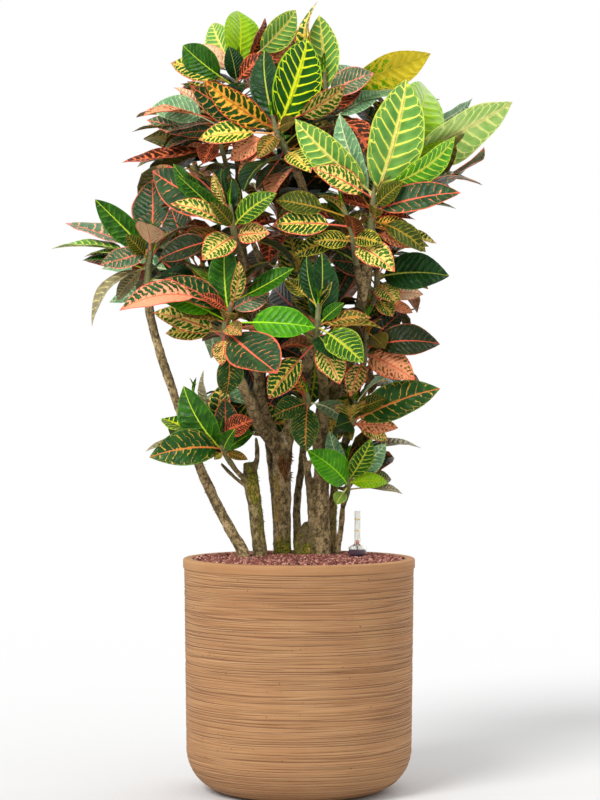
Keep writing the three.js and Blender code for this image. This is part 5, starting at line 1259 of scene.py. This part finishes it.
def spun(profile, steps, centre=(0, 0)):
    """A body turned about an upright axis from its profile of (radius, height) in millimetres. A profile
    that starts and ends on the axis closes there."""
    bpy.ops.mesh.primitive_circle_add(vertices=len(profile), fill_type="NOTHING")
    piece = active()
    radii, heights = np.array(profile, float).T
    set_places(piece, np.stack([radii, np.zeros(len(radii)), heights], 1) * MM)
    bpy.ops.object.mode_set(mode="EDIT")
    if profile[0][0] == 0:
        bpy.ops.mesh.select_all(action="DESELECT")
        bpy.ops.object.mode_set(mode="OBJECT")
        for edge in piece.data.edges:
            edge.select = set(edge.vertices) == {0, len(profile) - 1}
        bpy.ops.object.mode_set(mode="EDIT")
        bpy.ops.mesh.select_mode(type="EDGE")
        bpy.ops.mesh.delete(type="EDGE")
        bpy.ops.mesh.select_mode(type="VERT")
    bpy.ops.mesh.select_all(action="SELECT")
    bpy.ops.mesh.spin(steps=steps, angle=2 * math.pi, center=(0, 0, 0), axis=(0, 0, 1))
    bpy.ops.mesh.select_all(action="SELECT")
    bpy.ops.mesh.remove_doubles(threshold=1e-6)
    bpy.ops.mesh.normals_make_consistent(inside=False)
    bpy.ops.object.mode_set(mode="OBJECT")
    moved(piece, centre)
    bpy.ops.object.shade_smooth_by_angle(angle=math.radians(40))
    return piece


def scattered(name, master, axes, spots):
    """One piece of many copies of a small master, each turned and stretched to its own axes at its own
    spot."""
    shape = places_of(master)
    faces = np.array([list(face.vertices) for face in master.data.polygons])
    bpy.data.objects.remove(master)
    bodies = shape[None] @ axes + spots[:, None]
    corners = faces[None] + (np.arange(len(spots)) * len(shape))[:, None, None]
    mesh = bpy.data.meshes.new(name)
    mesh.from_pydata(bodies.reshape(-1, 3).tolist(), [], corners.reshape(-1, faces.shape[1]).tolist())
    piece = bpy.data.objects.new(name, mesh)
    bpy.context.scene.collection.objects.link(piece)
    return piece


def arc(centre_r, centre_z, radius, start, end, steps):
    angles = [math.radians(start + (end - start) * step / steps) for step in range(steps + 1)]
    return [(centre_r + radius * math.cos(a), centre_z + radius * math.sin(a)) for a in angles]


# ---- Pot ----
def wall_radius(z):
    rise = POT_HEIGHT - RIM_BAND - POT_BOTTOM_ROUND
    return POT_LOW_RADIUS + (POT_WAIST_RADIUS - POT_LOW_RADIUS) * (z - POT_BOTTOM_ROUND) / rise


def groove_depth(angle, z):
    """How deep the brush cut the pot's wall: many strokes, each along a part of the wall's round."""
    rng = np.random.default_rng(41)
    low, high = STROKE_LOWEST, POT_HEIGHT - RIM_BAND - 1
    depth = np.zeros_like(z)
    strokes = [(0.0, tall, *BROAD_STROKE, math.pi) for tall in BROAD_GROOVES]
    for _ in range(STROKE_COUNT):
        strokes.append((rng.uniform(-math.pi, math.pi), rng.uniform(low, high), rng.uniform(*STROKE_HALF),
                        rng.uniform(*STROKE_DEPTH) ** STROKE_BIAS, rng.uniform(*STROKE_SWEEP)))
    for middle, tall, half, cut, sweep in strokes:
        off = (angle - middle + math.pi) % (2 * math.pi) - math.pi
        waver = 1.1 * np.sin(off * 2 + tall) + 0.5 * np.sin(off * 5 + 2 * tall)
        ends = 1 - eased(np.abs(off), sweep * 0.75, sweep) if sweep < math.pi else 1
        beside = np.exp(-((z - tall - waver) / half) ** 2)
        depth = np.maximum(depth, cut * beside * ends)
    return depth * eased(z, low, low + STROKE_FADE[0]) * (1 - eased(z, high - STROKE_FADE[1], high))


def make_pot():
    band_bottom = POT_HEIGHT - RIM_BAND
    inner = wall_radius(POT_HEIGHT) - POT_WALL
    rows = int((band_bottom - POT_BOTTOM_ROUND) / WALL_PITCH)
    wall = [POT_BOTTOM_ROUND + (band_bottom - POT_BOTTOM_ROUND) * row / rows for row in range(1, rows + 1)]
    inner_round = POT_BOTTOM_ROUND - POT_WALL
    low_inner = wall_radius(POT_BOTTOM_ROUND) - POT_WALL
    profile = [
        (0, 0), *arc(POT_LOW_RADIUS - POT_BOTTOM_ROUND, POT_BOTTOM_ROUND, POT_BOTTOM_ROUND, -90, 0, 64),
        *((wall_radius(z), z) for z in wall),
        *arc(POT_RADIUS - BAND_ROUND, band_bottom + BAND_ROUND_HEIGHT, BAND_ROUND, -60, 0, 3),
        (POT_RADIUS, band_bottom + BAND_ROUND_TOP),
        *arc(POT_RADIUS - RIM_EDGE, POT_HEIGHT - RIM_EDGE, RIM_EDGE, 0, 90, 5),
        *arc(inner + RIM_EDGE, POT_HEIGHT - RIM_EDGE, RIM_EDGE, 90, 180, 5),
        *arc(low_inner - inner_round, POT_FLOOR + inner_round, inner_round, 0, -90, 8), (0, POT_FLOOR),
    ]
    pot = spun(profile, POT_STEPS)
    places = places_of(pot)
    radii = np.hypot(places[:, 0], places[:, 1])
    angles = np.arctan2(places[:, 1], places[:, 0])
    heights = places[:, 2] / MM
    in_the_round = np.where(heights > POT_FLOOR, 0.8, 0.5) * POT_LOW_RADIUS * MM
    outside = radii >= (POT_LOW_RADIUS - POT_WALL / 2) * MM
    outside |= (heights < POT_BOTTOM_ROUND) & (radii > in_the_round)
    cut = np.where(outside, groove_depth(angles, heights), 0)
    places[:, :2] *= (1 - cut * MM / np.maximum(radii, 0.01))[:, None]
    set_places(pot, places)
    give(pot, "groove", cut)
    give(pot, "smooth", np.where(outside, eased(heights, band_bottom - 1, band_bottom + 1), 0.8))
    keep(pot, "clay_pot", "pot", pot_finish())


# ---- Granules ----
def make_pellet():
    """One pellet: a ball of few faces, pressed a little flat."""
    bpy.ops.mesh.primitive_ico_sphere_add(subdivisions=1, radius=0.5)
    pellet = active()
    bpy.ops.object.mode_set(mode="EDIT")
    bpy.ops.transform.resize(value=PELLET_FLATNESS)
    bpy.ops.object.mode_set(mode="OBJECT")
    return pellet


def stem_clearance(x, y):
    """How far a spot on the bed is from the trunks and the gauge, millimetres."""
    feet = [(line_of(stem)[0][0], stem[1][0][3] / 2) for stem in STEMS if is_rooted(stem)]
    feet.append((np.array([GAUGE_X, GAUGE_Y, 0]), GAUGE_BULB_RADIUS))
    return min(math.hypot(x - foot[0], y - foot[1]) - radius for foot, radius in feet)


def make_granules():
    inner = wall_radius(BED_TOP) - POT_WALL - GAP
    inner_round = POT_BOTTOM_ROUND - POT_WALL - GAP
    low_inner = wall_radius(POT_BOTTOM_ROUND) - POT_WALL - GAP
    round_middle = POT_FLOOR + GAP + inner_round
    bed = spun([
        (0, POT_FLOOR + GAP), *arc(low_inner - inner_round, round_middle, inner_round, -90, 0, 6),
        (inner, BED_TOP), (0, BED_TOP),
    ], BED_STEPS)
    give(bed, "tone", np.zeros(len(bed.data.vertices)))

    rng = np.random.default_rng(7)
    spots = []
    lift, step = PELLET_LIFT
    sideways, upright = PELLET_STRAY
    for layer, (wider, share) in enumerate(PELLET_LAYERS):
        pitch = PELLET_PITCH * wider
        rows = int(2 * inner / (pitch * PELLET_ROW))
        for row in range(rows + 1):
            for column in range(int(2 * inner / pitch) + 1):
                x = -inner + (column + 0.5 * (row % 2)) * pitch + rng.normal(0, sideways)
                y = -inner + row * pitch * PELLET_ROW + rng.normal(0, sideways)
                size = rng.uniform(*PELLET_SIZE)
                fits = math.hypot(x, y) < inner - size / 2 and stem_clearance(x, y) > STEM_MARGIN
                if fits and rng.random() < share:
                    spots.append((x, y, BED_TOP + lift + layer * step + rng.normal(0, upright), size))
    turns = rng.normal(size=(len(spots), 3, 3))
    turns = np.linalg.qr(turns)[0]
    turns[np.linalg.det(turns) < 0] *= -1
    stretch = rng.uniform(*PELLET_STRETCH, (len(spots), 3, 1))
    spots = np.array(spots) * MM
    pellets = scattered("pellets", make_pellet(), turns * stretch * spots[:, None, 3:], spots[:, :3])
    corners = len(pellets.data.vertices) // len(spots)
    dents = rng.normal(0, PELLET_DENT * MM, (len(spots) * corners, 3))
    set_places(pellets, places_of(pellets) + dents)
    give(pellets, "tone", np.repeat(rng.beta(1.2, 1.2, len(spots)), corners))
    only(pellets)
    bpy.ops.object.shade_smooth()
    keep(joined([bed, pellets]), "clay_granules", "granules", pellet_finish())


# ---- Water gauge ----
def make_gauge():
    centre = (GAUGE_X, GAUGE_Y)
    outer, inner = GAUGE_TUBE_RADIUS, GAUGE_TUBE_RADIUS - GAUGE_GLASS
    bulb, neck = GAUGE_BULB_RADIUS, GAUGE_NECK
    foot, end = GAUGE_BULB_BOTTOM, GAUGE_TOP
    tube = spun([
        (bulb - GAUGE_GLASS, foot), (bulb - 0.3, foot), (bulb, foot + 0.4), (bulb, foot + 1.8),
        (bulb - 0.7, foot + 2.8), (outer + 1.6, neck - 1.1), (outer + 0.5, neck - 0.1), (outer, neck + 1.6),
        (outer, end - 0.6), (outer - 0.6, end), (0, end), (0, end - GAUGE_GLASS), (inner, end - GAUGE_GLASS),
        (inner, neck + 1), (inner + 1.2, neck - 1.6), (bulb - GAUGE_GLASS - 0.6, foot + 1.5),
    ], GAUGE_STEPS, centre)
    keep(tube, "gauge_clear_tube_smooth", "gauge_clear_tube", clear_finish())

    shaft, bore = GAUGE_SHAFT_RADIUS, GAUGE_SHAFT_RADIUS - GAUGE_SHAFT_WALL
    top, flange = foot - GAP, GAUGE_FLANGE_BOTTOM
    collar = spun([
        (bore, GAUGE_SHAFT_BOTTOM), (shaft, GAUGE_SHAFT_BOTTOM), (shaft, flange), (bulb - 0.8, flange),
        (bulb, flange + 0.8), (bulb, top - 2.4), (bulb - 0.9, top - 1.9), (bulb - 0.9, top), (bore, top),
    ], GAUGE_STEPS, centre)
    dark = plastic_finish("dark_plastic", "#4a3644", 0.16, Coat_Weight=0.6, Coat_Roughness=0.08)
    keep(collar, "gauge_shaft_and_collar", "gauge_shaft", dark)

    float_low, float_high = GAUGE_FLOAT
    bead_low, bead_high = GAUGE_BEAD
    wide, pin, bead = GAUGE_FLOAT_RADIUS, GAUGE_PIN_RADIUS, GAUGE_BEAD_RADIUS
    floater = spun([
        (0, float_low), (wide - 1, float_low), (wide, float_low + 1), (wide, float_high - 1),
        (wide - 1, float_high), (pin, float_high), (pin, bead_low), *arc(0, bead_low + bead, bead, -50, 0, 4),
        (bead, (bead_low + bead_high) / 2), *arc(0, bead_high - bead, bead, 0, 90, 6)[:-1], (0, bead_high),
    ], GAUGE_STEPS, centre)
    keep(floater, "gauge_float_and_bead", "gauge_float", float_finish())

    # Two level marks: bands round the front of the tube.
    marks = []
    low, high = outer + MARK_LIFT[0], outer + MARK_LIFT[1]
    start = MARK_SWEEP / 2
    for height in GAUGE_MARKS:
        bpy.ops.mesh.primitive_circle_add(vertices=4, fill_type="NGON")
        mark = active()
        under, over = height - MARK_WIDTH / 2, height + MARK_WIDTH / 2
        around = [(low, under), (high, under), (high, over), (low, over)]
        set_places(mark, np.array([[math.sin(start) * r, -math.cos(start) * r, z] for r, z in around]) * MM)
        bpy.ops.object.mode_set(mode="EDIT")
        bpy.ops.mesh.select_all(action="SELECT")
        bpy.ops.mesh.spin(steps=8, angle=MARK_SWEEP, center=(0, 0, 0), axis=(0, 0, 1))
        bpy.ops.mesh.select_all(action="SELECT")
        bpy.ops.mesh.normals_make_consistent(inside=False)
        bpy.ops.object.mode_set(mode="OBJECT")
        moved(mark, centre)
        marks.append(mark)
    yellow = plastic_finish("yellow_mark", "#d8b21e", 0.45)
    keep(joined(marks), "gauge_level_marks", None, yellow)


# ---- Trunks ----
def stem_tube(places, widths, sides, smooth=6):
    """A round stem along a curve through its places, as wide as asked at each."""
    bpy.ops.curve.primitive_bezier_curve_add()
    curve = active()
    curve.data.bevel_depth = MM
    curve.data.bevel_resolution = sides // 2 - 2
    curve.data.use_fill_caps = True
    curve.data.resolution_u = smooth
    points = curve.data.splines[0].bezier_points
    points.add(len(places) - 2)
    for point, spot, width in zip(points, places, widths):
        point.co = [float(value) * MM for value in spot]
        point.radius = width / 2
        point.handle_left_type = point.handle_right_type = "AUTO"
    bpy.ops.object.convert(target="MESH")
    return active()


def near(value, middle, full, none):
    """1 within full of a middle, 0 beyond none of it, and a smooth way between."""
    return 1 - eased(np.abs(value - middle), full, none)


def growth_of(name, places):
    """How much moss, golden moss, brown fibre, sawn wood and painted shade there is at places on a trunk."""
    x, y, z = places.T / MM
    z = z + 6 * np.sin(0.35 * x + 0.2 * y) + 5 * np.sin(0.5 * y - 0.15 * x)
    growth = {kind: np.zeros(len(z)) for kind in ("moss", "gold", "fibre", "sawn", "painted_shade")}
    growth["moss"] += MOSS_ALL_OVER
    for trunk, kind, amount, reach, *sides in GROWTH:
        if trunk == name:
            amount = amount * near(z, *reach)
            for way, start, full in sides:
                amount = amount * eased(way * x, start, full)
            growth[kind] += amount
    if name == SAWN_END["trunk"]:
        off = np.linalg.norm(np.stack([x, y, z], 1) - SAWN_END["middle"], axis=1)
        growth["sawn"] += (1 - eased(off, *SAWN_END["radius"])) * eased(z, *SAWN_END["over"])
    if name == FIBRE_KNOT["trunk"]:
        off = np.hypot(x - FIBRE_KNOT["x"], z - FIBRE_KNOT["z"])
        growth["fibre"] += 1 - eased(off, *FIBRE_KNOT["radius"])
    return growth


def make_spike():
    """One strand of a tuft: a thin spike with three sides, from its foot up."""
    bpy.ops.mesh.primitive_cone_add(vertices=3, radius1=0.16, radius2=0, depth=1, location=(0, 0, 0.5))
    spike = active()
    bpy.ops.object.transform_apply(location=True)
    return spike


def tufts_on(trunk, growth, share, lengths, rise, rng):
    """Spikes for a trunk: their feet, the axes that they are turned to, and their lengths."""
    normals = np.zeros(len(trunk.data.vertices) * 3)
    trunk.data.vertices.foreach_get("normal", normals)
    normals = normals.reshape(-1, 3)
    clumps = eased(np.sin(places_of(trunk) @ rng.normal(0, 260, (3, 6))).mean(1), -0.2, 0.3)
    chosen = rng.random(len(growth)) < share * eased(growth, 0.3, 0.9) * clumps
    feet, normals = places_of(trunk)[chosen], normals[chosen]
    ways = normals + rng.normal(0, 0.45, normals.shape) + [0, 0, rise]
    ways /= np.linalg.norm(ways, axis=1, keepdims=True)
    across = np.cross(ways, rng.normal(size=ways.shape))
    across /= np.linalg.norm(across, axis=1, keepdims=True)
    axes = np.stack([across, np.cross(ways, across), ways], 1)
    return feet - ways * 0.4 * MM, axes, rng.uniform(*lengths, len(feet)) * MM


def make_tufts(name, finish, parts, rng):
    """All the spikes of one kind in one piece."""
    feet, axes, lengths = (np.concatenate(column) for column in zip(*parts))
    tones = np.repeat(rng.uniform(0, 0.7, len(feet)), 4) + np.tile([0, 0, 0, 0.3], len(feet))
    tufts = scattered(name, make_spike(), axes * lengths[:, None, None], feet)
    give(tufts, "tone", tones)
    keep(tufts, name, None, finish)


def make_trunks():
    finishes = {
        "bark": bark_finish("bark", "#bca274", "#86724c", "#463a26"),
        "bark_dark": bark_finish("dark_bark", "#9c8a60", "#6e6042", "#3a3222"),
        "bark_mossy": bark_finish("mossy_bark", "#b09c6c", "#807048", "#463c24"),
    }
    slots = {row["node"]: row["material_slot"] for row in frame["record"]["subparts"]}
    rng = np.random.default_rng(11)
    moss_parts, fibre_parts = [], []
    for name in dict.fromkeys(stem[0] for stem in STEMS):
        tubes = []
        for stem in [stem for stem in STEMS if stem[0] == name]:
            places, widths, _, end = line_of(stem)
            line, wide = places[:end + 1], widths[:end + 1]
            if is_rooted(stem):
                line = [line[0] - [0, 0, ROOTING_DEPTH], *line]
                wide = [wide[0] * ROOT_TAPER, *wide]
            if len(stem) > 2:
                line[-1] = line[-1] + (places[end + 1] - line[-1]) * FORK_LAP
            tubes.append(stem_tube(line, wide, STEM_SIDES))
        trunk = joined(tubes)
        apply(trunk, "REMESH", mode="VOXEL", voxel_size=TRUNK_CELL * MM, use_smooth_shade=True)
        apply(trunk, "SMOOTH", factor=0.5, iterations=3)
        for size, height in TRUNK_LUMPS:
            lumps = bpy.data.textures.new("lumps", "CLOUDS")
            lumps.noise_scale = size * MM
            apply(trunk, "DISPLACE", texture=lumps, texture_coords="LOCAL", strength=height * MM,
                  mid_level=0.5)
        growth = growth_of(name, places_of(trunk))
        for kind, amount in growth.items():
            give(trunk, kind, amount)
        above = places_of(trunk)[:, 2] > BED_TOP * MM
        moss_parts.append(tufts_on(trunk, growth["moss"] * above, *MOSS_TUFTS, rng))
        fibre_parts.append(tufts_on(trunk, growth["fibre"] * above, *FIBRE_TUFTS, rng))
        keep(trunk, name + "_bark", name, finishes[slots[name]])
    make_tufts("moss_tufts", tuft_finish("moss", "#34320e", "#a09a34"), moss_parts, rng)
    make_tufts("bark_fibres", tuft_finish("fibres", "#3a2212", "#96683a"), fibre_parts, rng)


# ---- Shoots ----
def make_master_leaf(columns, rows):
    """A flat leaf of width 2 and length 1, and of thickness 1, which every leaf is bent from. Its map runs
    across from 0 to 1 and along from 0 to 1."""
    bpy.ops.mesh.primitive_grid_add(x_subdivisions=columns, y_subdivisions=rows, size=1)
    master = active()
    places = places_of(master)
    set_places(master, np.stack([places[:, 0] * 2, places[:, 1] + 0.5, places[:, 2]], 1))
    apply(master, "SOLIDIFY", thickness=1.0, offset=0.0)
    master.data.uv_layers[0].name = "LeafMap"
    return master


def make_master_rib():
    """A thin rod from a leaf's root to its tip: petiole, then the ridge under the blade."""
    bpy.ops.mesh.primitive_cylinder_add(vertices=5, radius=1, depth=1, location=(0, 0, 0.5))
    master = active()
    bpy.ops.object.transform_apply(location=True)
    bpy.ops.object.mode_set(mode="EDIT")
    for level in RIB_LEVELS:
        bpy.ops.mesh.select_all(action="SELECT")
        bpy.ops.mesh.bisect(plane_co=(0, 0, level), plane_no=(0, 0, 1))
    bpy.ops.object.mode_set(mode="OBJECT")
    master.data.uv_layers[0].name = "LeafMap"
    return master


def bend_blade(leaf, shape, rng):
    """The master leaf's places bent to one leaf, and their vein map: metric shares of the blade."""
    x, y, thick = shape.T
    share = leaf["petiole"] + (1 - leaf["petiole"]) * y
    half = half_width(leaf, share) * (1 - 0.3 * y ** 9)
    side, normal = turned_axes(leaf, share)
    wave = rng.uniform(*RIPPLE_HEIGHT) * leaf["width"]
    phase = rng.uniform(0, 2 * math.pi, 2)
    cycles = rng.uniform(*RIPPLE_CYCLES)
    ripple = wave * np.sin(2 * math.pi * cycles * y + np.where(x > 0, phase[0], phase[1])) * x * x
    ripple = ripple * eased(y, 0.05, 0.3) * (1 - eased(y, 0.8, 1.0))
    bulge = half * BLADE_BULGE * (np.abs(x) - x * x)
    lift = half * np.abs(x) * math.sin(BLADE_FOLD) + bulge + ripple
    body = BLADE_THICKNESS + (MARGIN_THICKNESS - BLADE_THICKNESS) * np.abs(x)
    body = body * (1 - 0.6 * eased(y, 0.85, 1.0))
    out = (half * x * math.cos(BLADE_FOLD))[:, None]
    droop = TIP_DROOP * leaf["length"] * np.maximum(0, y - 0.6) ** 2
    places = midrib(leaf, share) + side * out + normal * (lift + thick * body - droop)[:, None]
    blade_length = leaf["length"] * (1 - leaf["petiole"])
    return places, np.stack([0.5 + x * half / blade_length, y], 1)


def bend_rib(leaf, shape):
    x, y, share = shape.T
    side, normal = turned_axes(leaf, share)
    on_blade = eased(share, leaf["petiole"] * 0.7, leaf["petiole"] + 0.25)
    radius = PETIOLE_WIDTH / 2 * (1 - on_blade * 0.35) * (1 - 0.85 * share * on_blade)
    swell = 1 + 0.5 * (1 - eased(share, 0.0, 0.1))
    sunk = -0.45 * on_blade * radius - TIP_DROOP * leaf["length"] * np.maximum(0, share - 0.66) ** 2
    places = midrib(leaf, share) + side * (x * radius * swell)[:, None]
    return places + normal * (y * radius * swell + sunk)[:, None]


def dress(piece, leaf, seed):
    """Gives a leaf its look."""
    *codes, spread, uneven, faded = LOOKS[leaf["look"]]
    # A leaf's tone under 1 is painted shade, for leaves deep in or behind the crown.
    tone = LEAF_TONE * leaf.get("tone", 1)
    for name, code in zip(["body", "deep", "veins", "rib", "margin"], codes):
        give_colour(piece, name, [value * tone for value in colour(code)[:3]] + [1.0])
    give_colour(piece, "traits", [spread, uneven, seed, faded])


def grow_leaf(leaf, masters, rng):
    """Copies of the two masters bent to one leaf."""
    seed = rng.random()
    read = "large" if leaf["width"] > LARGE_LEAF else "small"
    blade, rib = masters["plain" if leaf.get("hidden") else read], masters["rib"]
    bent, vein_map = bend_blade(leaf, blade["shape"], rng)
    made = []
    for master, places in [(blade, bent), (rib, bend_rib(leaf, rib["shape"]))]:
        copy = master["piece"].copy()
        copy.data = master["piece"].data.copy()
        bpy.context.scene.collection.objects.link(copy)
        set_places(copy, places * MM)
        dress(copy, leaf, seed)
        layer = copy.data.uv_layers.new(name="VeinMap")
        if master is blade:
            corners = np.zeros(len(copy.data.loops), np.int32)
            copy.data.loops.foreach_get("vertex_index", corners)
            layer.data.foreach_set("uv", vein_map[corners].astype(np.float32).ravel())
            give(copy, "under", (blade["shape"][:, 2] < 0).astype(float))
        else:
            layer.data.foreach_set("uv", np.full(len(copy.data.loops) * 2, 0.5, np.float32))
            give(copy, "under", np.zeros(len(copy.data.vertices)))
        made.append(copy)
    return made


def bud_leaves(shoot, rng):
    """The youngest leaves, small and upright at the top of a core."""
    places, _, ways, _ = line_of(shoot["stem"])
    top, way = places[-1], ways[-1]
    buds = []
    for index in range(BUD_COUNT):
        angle = 2 * math.pi * (index / BUD_COUNT + rng.random() / 6)
        across = unit(np.cross(way, [0.3, 0.9, 0.1]))
        out = across * math.cos(angle) + np.cross(way, across) * math.sin(angle)
        length = rng.uniform(*BUD_LENGTH)
        root, tip = top - way * BUD_SUNK, top + way * length + out * length * BUD_SPREAD
        side = unit(np.cross(out, unit(tip - top)))
        if float(np.cross(unit(tip - root), side) @ out) > 0:
            side = -side
        bud = make_leaf(root, tip, side, length * BUD_WIDTH, *BUD_SHAPE)
        bud["look"] = "fresh_green"
        buds.append(bud)
    return buds


def make_shoots(shoots):
    pieces = {name: make_master_leaf(*grid) for name, grid in LEAF_GRIDS.items()}
    pieces["rib"] = make_master_rib()
    masters = {name: {"piece": piece, "shape": places_of(piece)} for name, piece in pieces.items()}
    leaf_material, stem_material = leaf_finish(), stem_finish()
    rng = np.random.default_rng(5)
    for name, shoot in shoots.items():
        parts = []
        for leaf in shoot["leaves"] + bud_leaves(shoot, rng):
            parts += grow_leaf(leaf, masters, rng)
        for part in parts:
            part.data.materials.append(leaf_material)
        places, widths, _, end = line_of(shoot["stem"])
        core = stem_tube(places[end:], widths[end:], STEM_SIDES, 5)
        core.data.materials.append(stem_material)
        piece = joined([*parts, core])
        bpy.ops.object.shade_smooth_by_angle(angle=math.radians(60))
        keep(piece, name + "_leaves", name)
    for piece in pieces.values():
        bpy.data.objects.remove(piece)


# ---- Stage ----
def make_stage():
    for name, energy, softness, spot in LIGHTS:
        light = bpy.data.objects.new(name, bpy.data.lights.new(name, "SUN"))
        light.data.energy = energy
        light.data.angle = math.radians(softness)
        light.rotation_euler = Vector(spot).to_track_quat("Z", "Y").to_euler()
        bpy.context.scene.collection.objects.link(light)
    world = bpy.data.worlds.new("studio")
    world.use_nodes = True
    world.node_tree.nodes["Background"].inputs[0].default_value = (1, 1, 1, 1)
    world.node_tree.nodes["Background"].inputs[1].default_value = SKY
    bpy.context.scene.world = world
    bpy.context.scene.view_settings.view_transform = "Standard"

    # The floor's tone makes it as light as the sky, so no line divides them.
    bpy.ops.mesh.primitive_plane_add(size=120)
    floor = active()
    floor.name = "floor"
    lit = sum(energy * unit(np.array(spot))[2] for _, energy, _, spot in LIGHTS) / math.pi
    tone = SKY / (SKY + lit)
    finish = Finish("pale_floor", 1.0, Specular_IOR_Level=0.0)
    floor.data.materials.append(finish.finish((tone, tone, tone, 1)))
    floor.select_set(False)

    camera = bpy.data.objects.new("camera", bpy.data.cameras.new("camera"))
    bpy.context.scene.collection.objects.link(camera)
    camera.location = (CAMERA_X, -EYE_DISTANCE * MM, EYE_HEIGHT * MM)
    camera.rotation_euler = (math.pi / 2, 0, 0)
    camera.data.lens = LENS
    camera.data.sensor_width = SENSOR
    camera.data.clip_end = 200
    bpy.context.scene.camera = camera


make_stage()
make_pot()
make_granules()
make_gauge()
make_trunks()
make_shoots(grow_shoots())
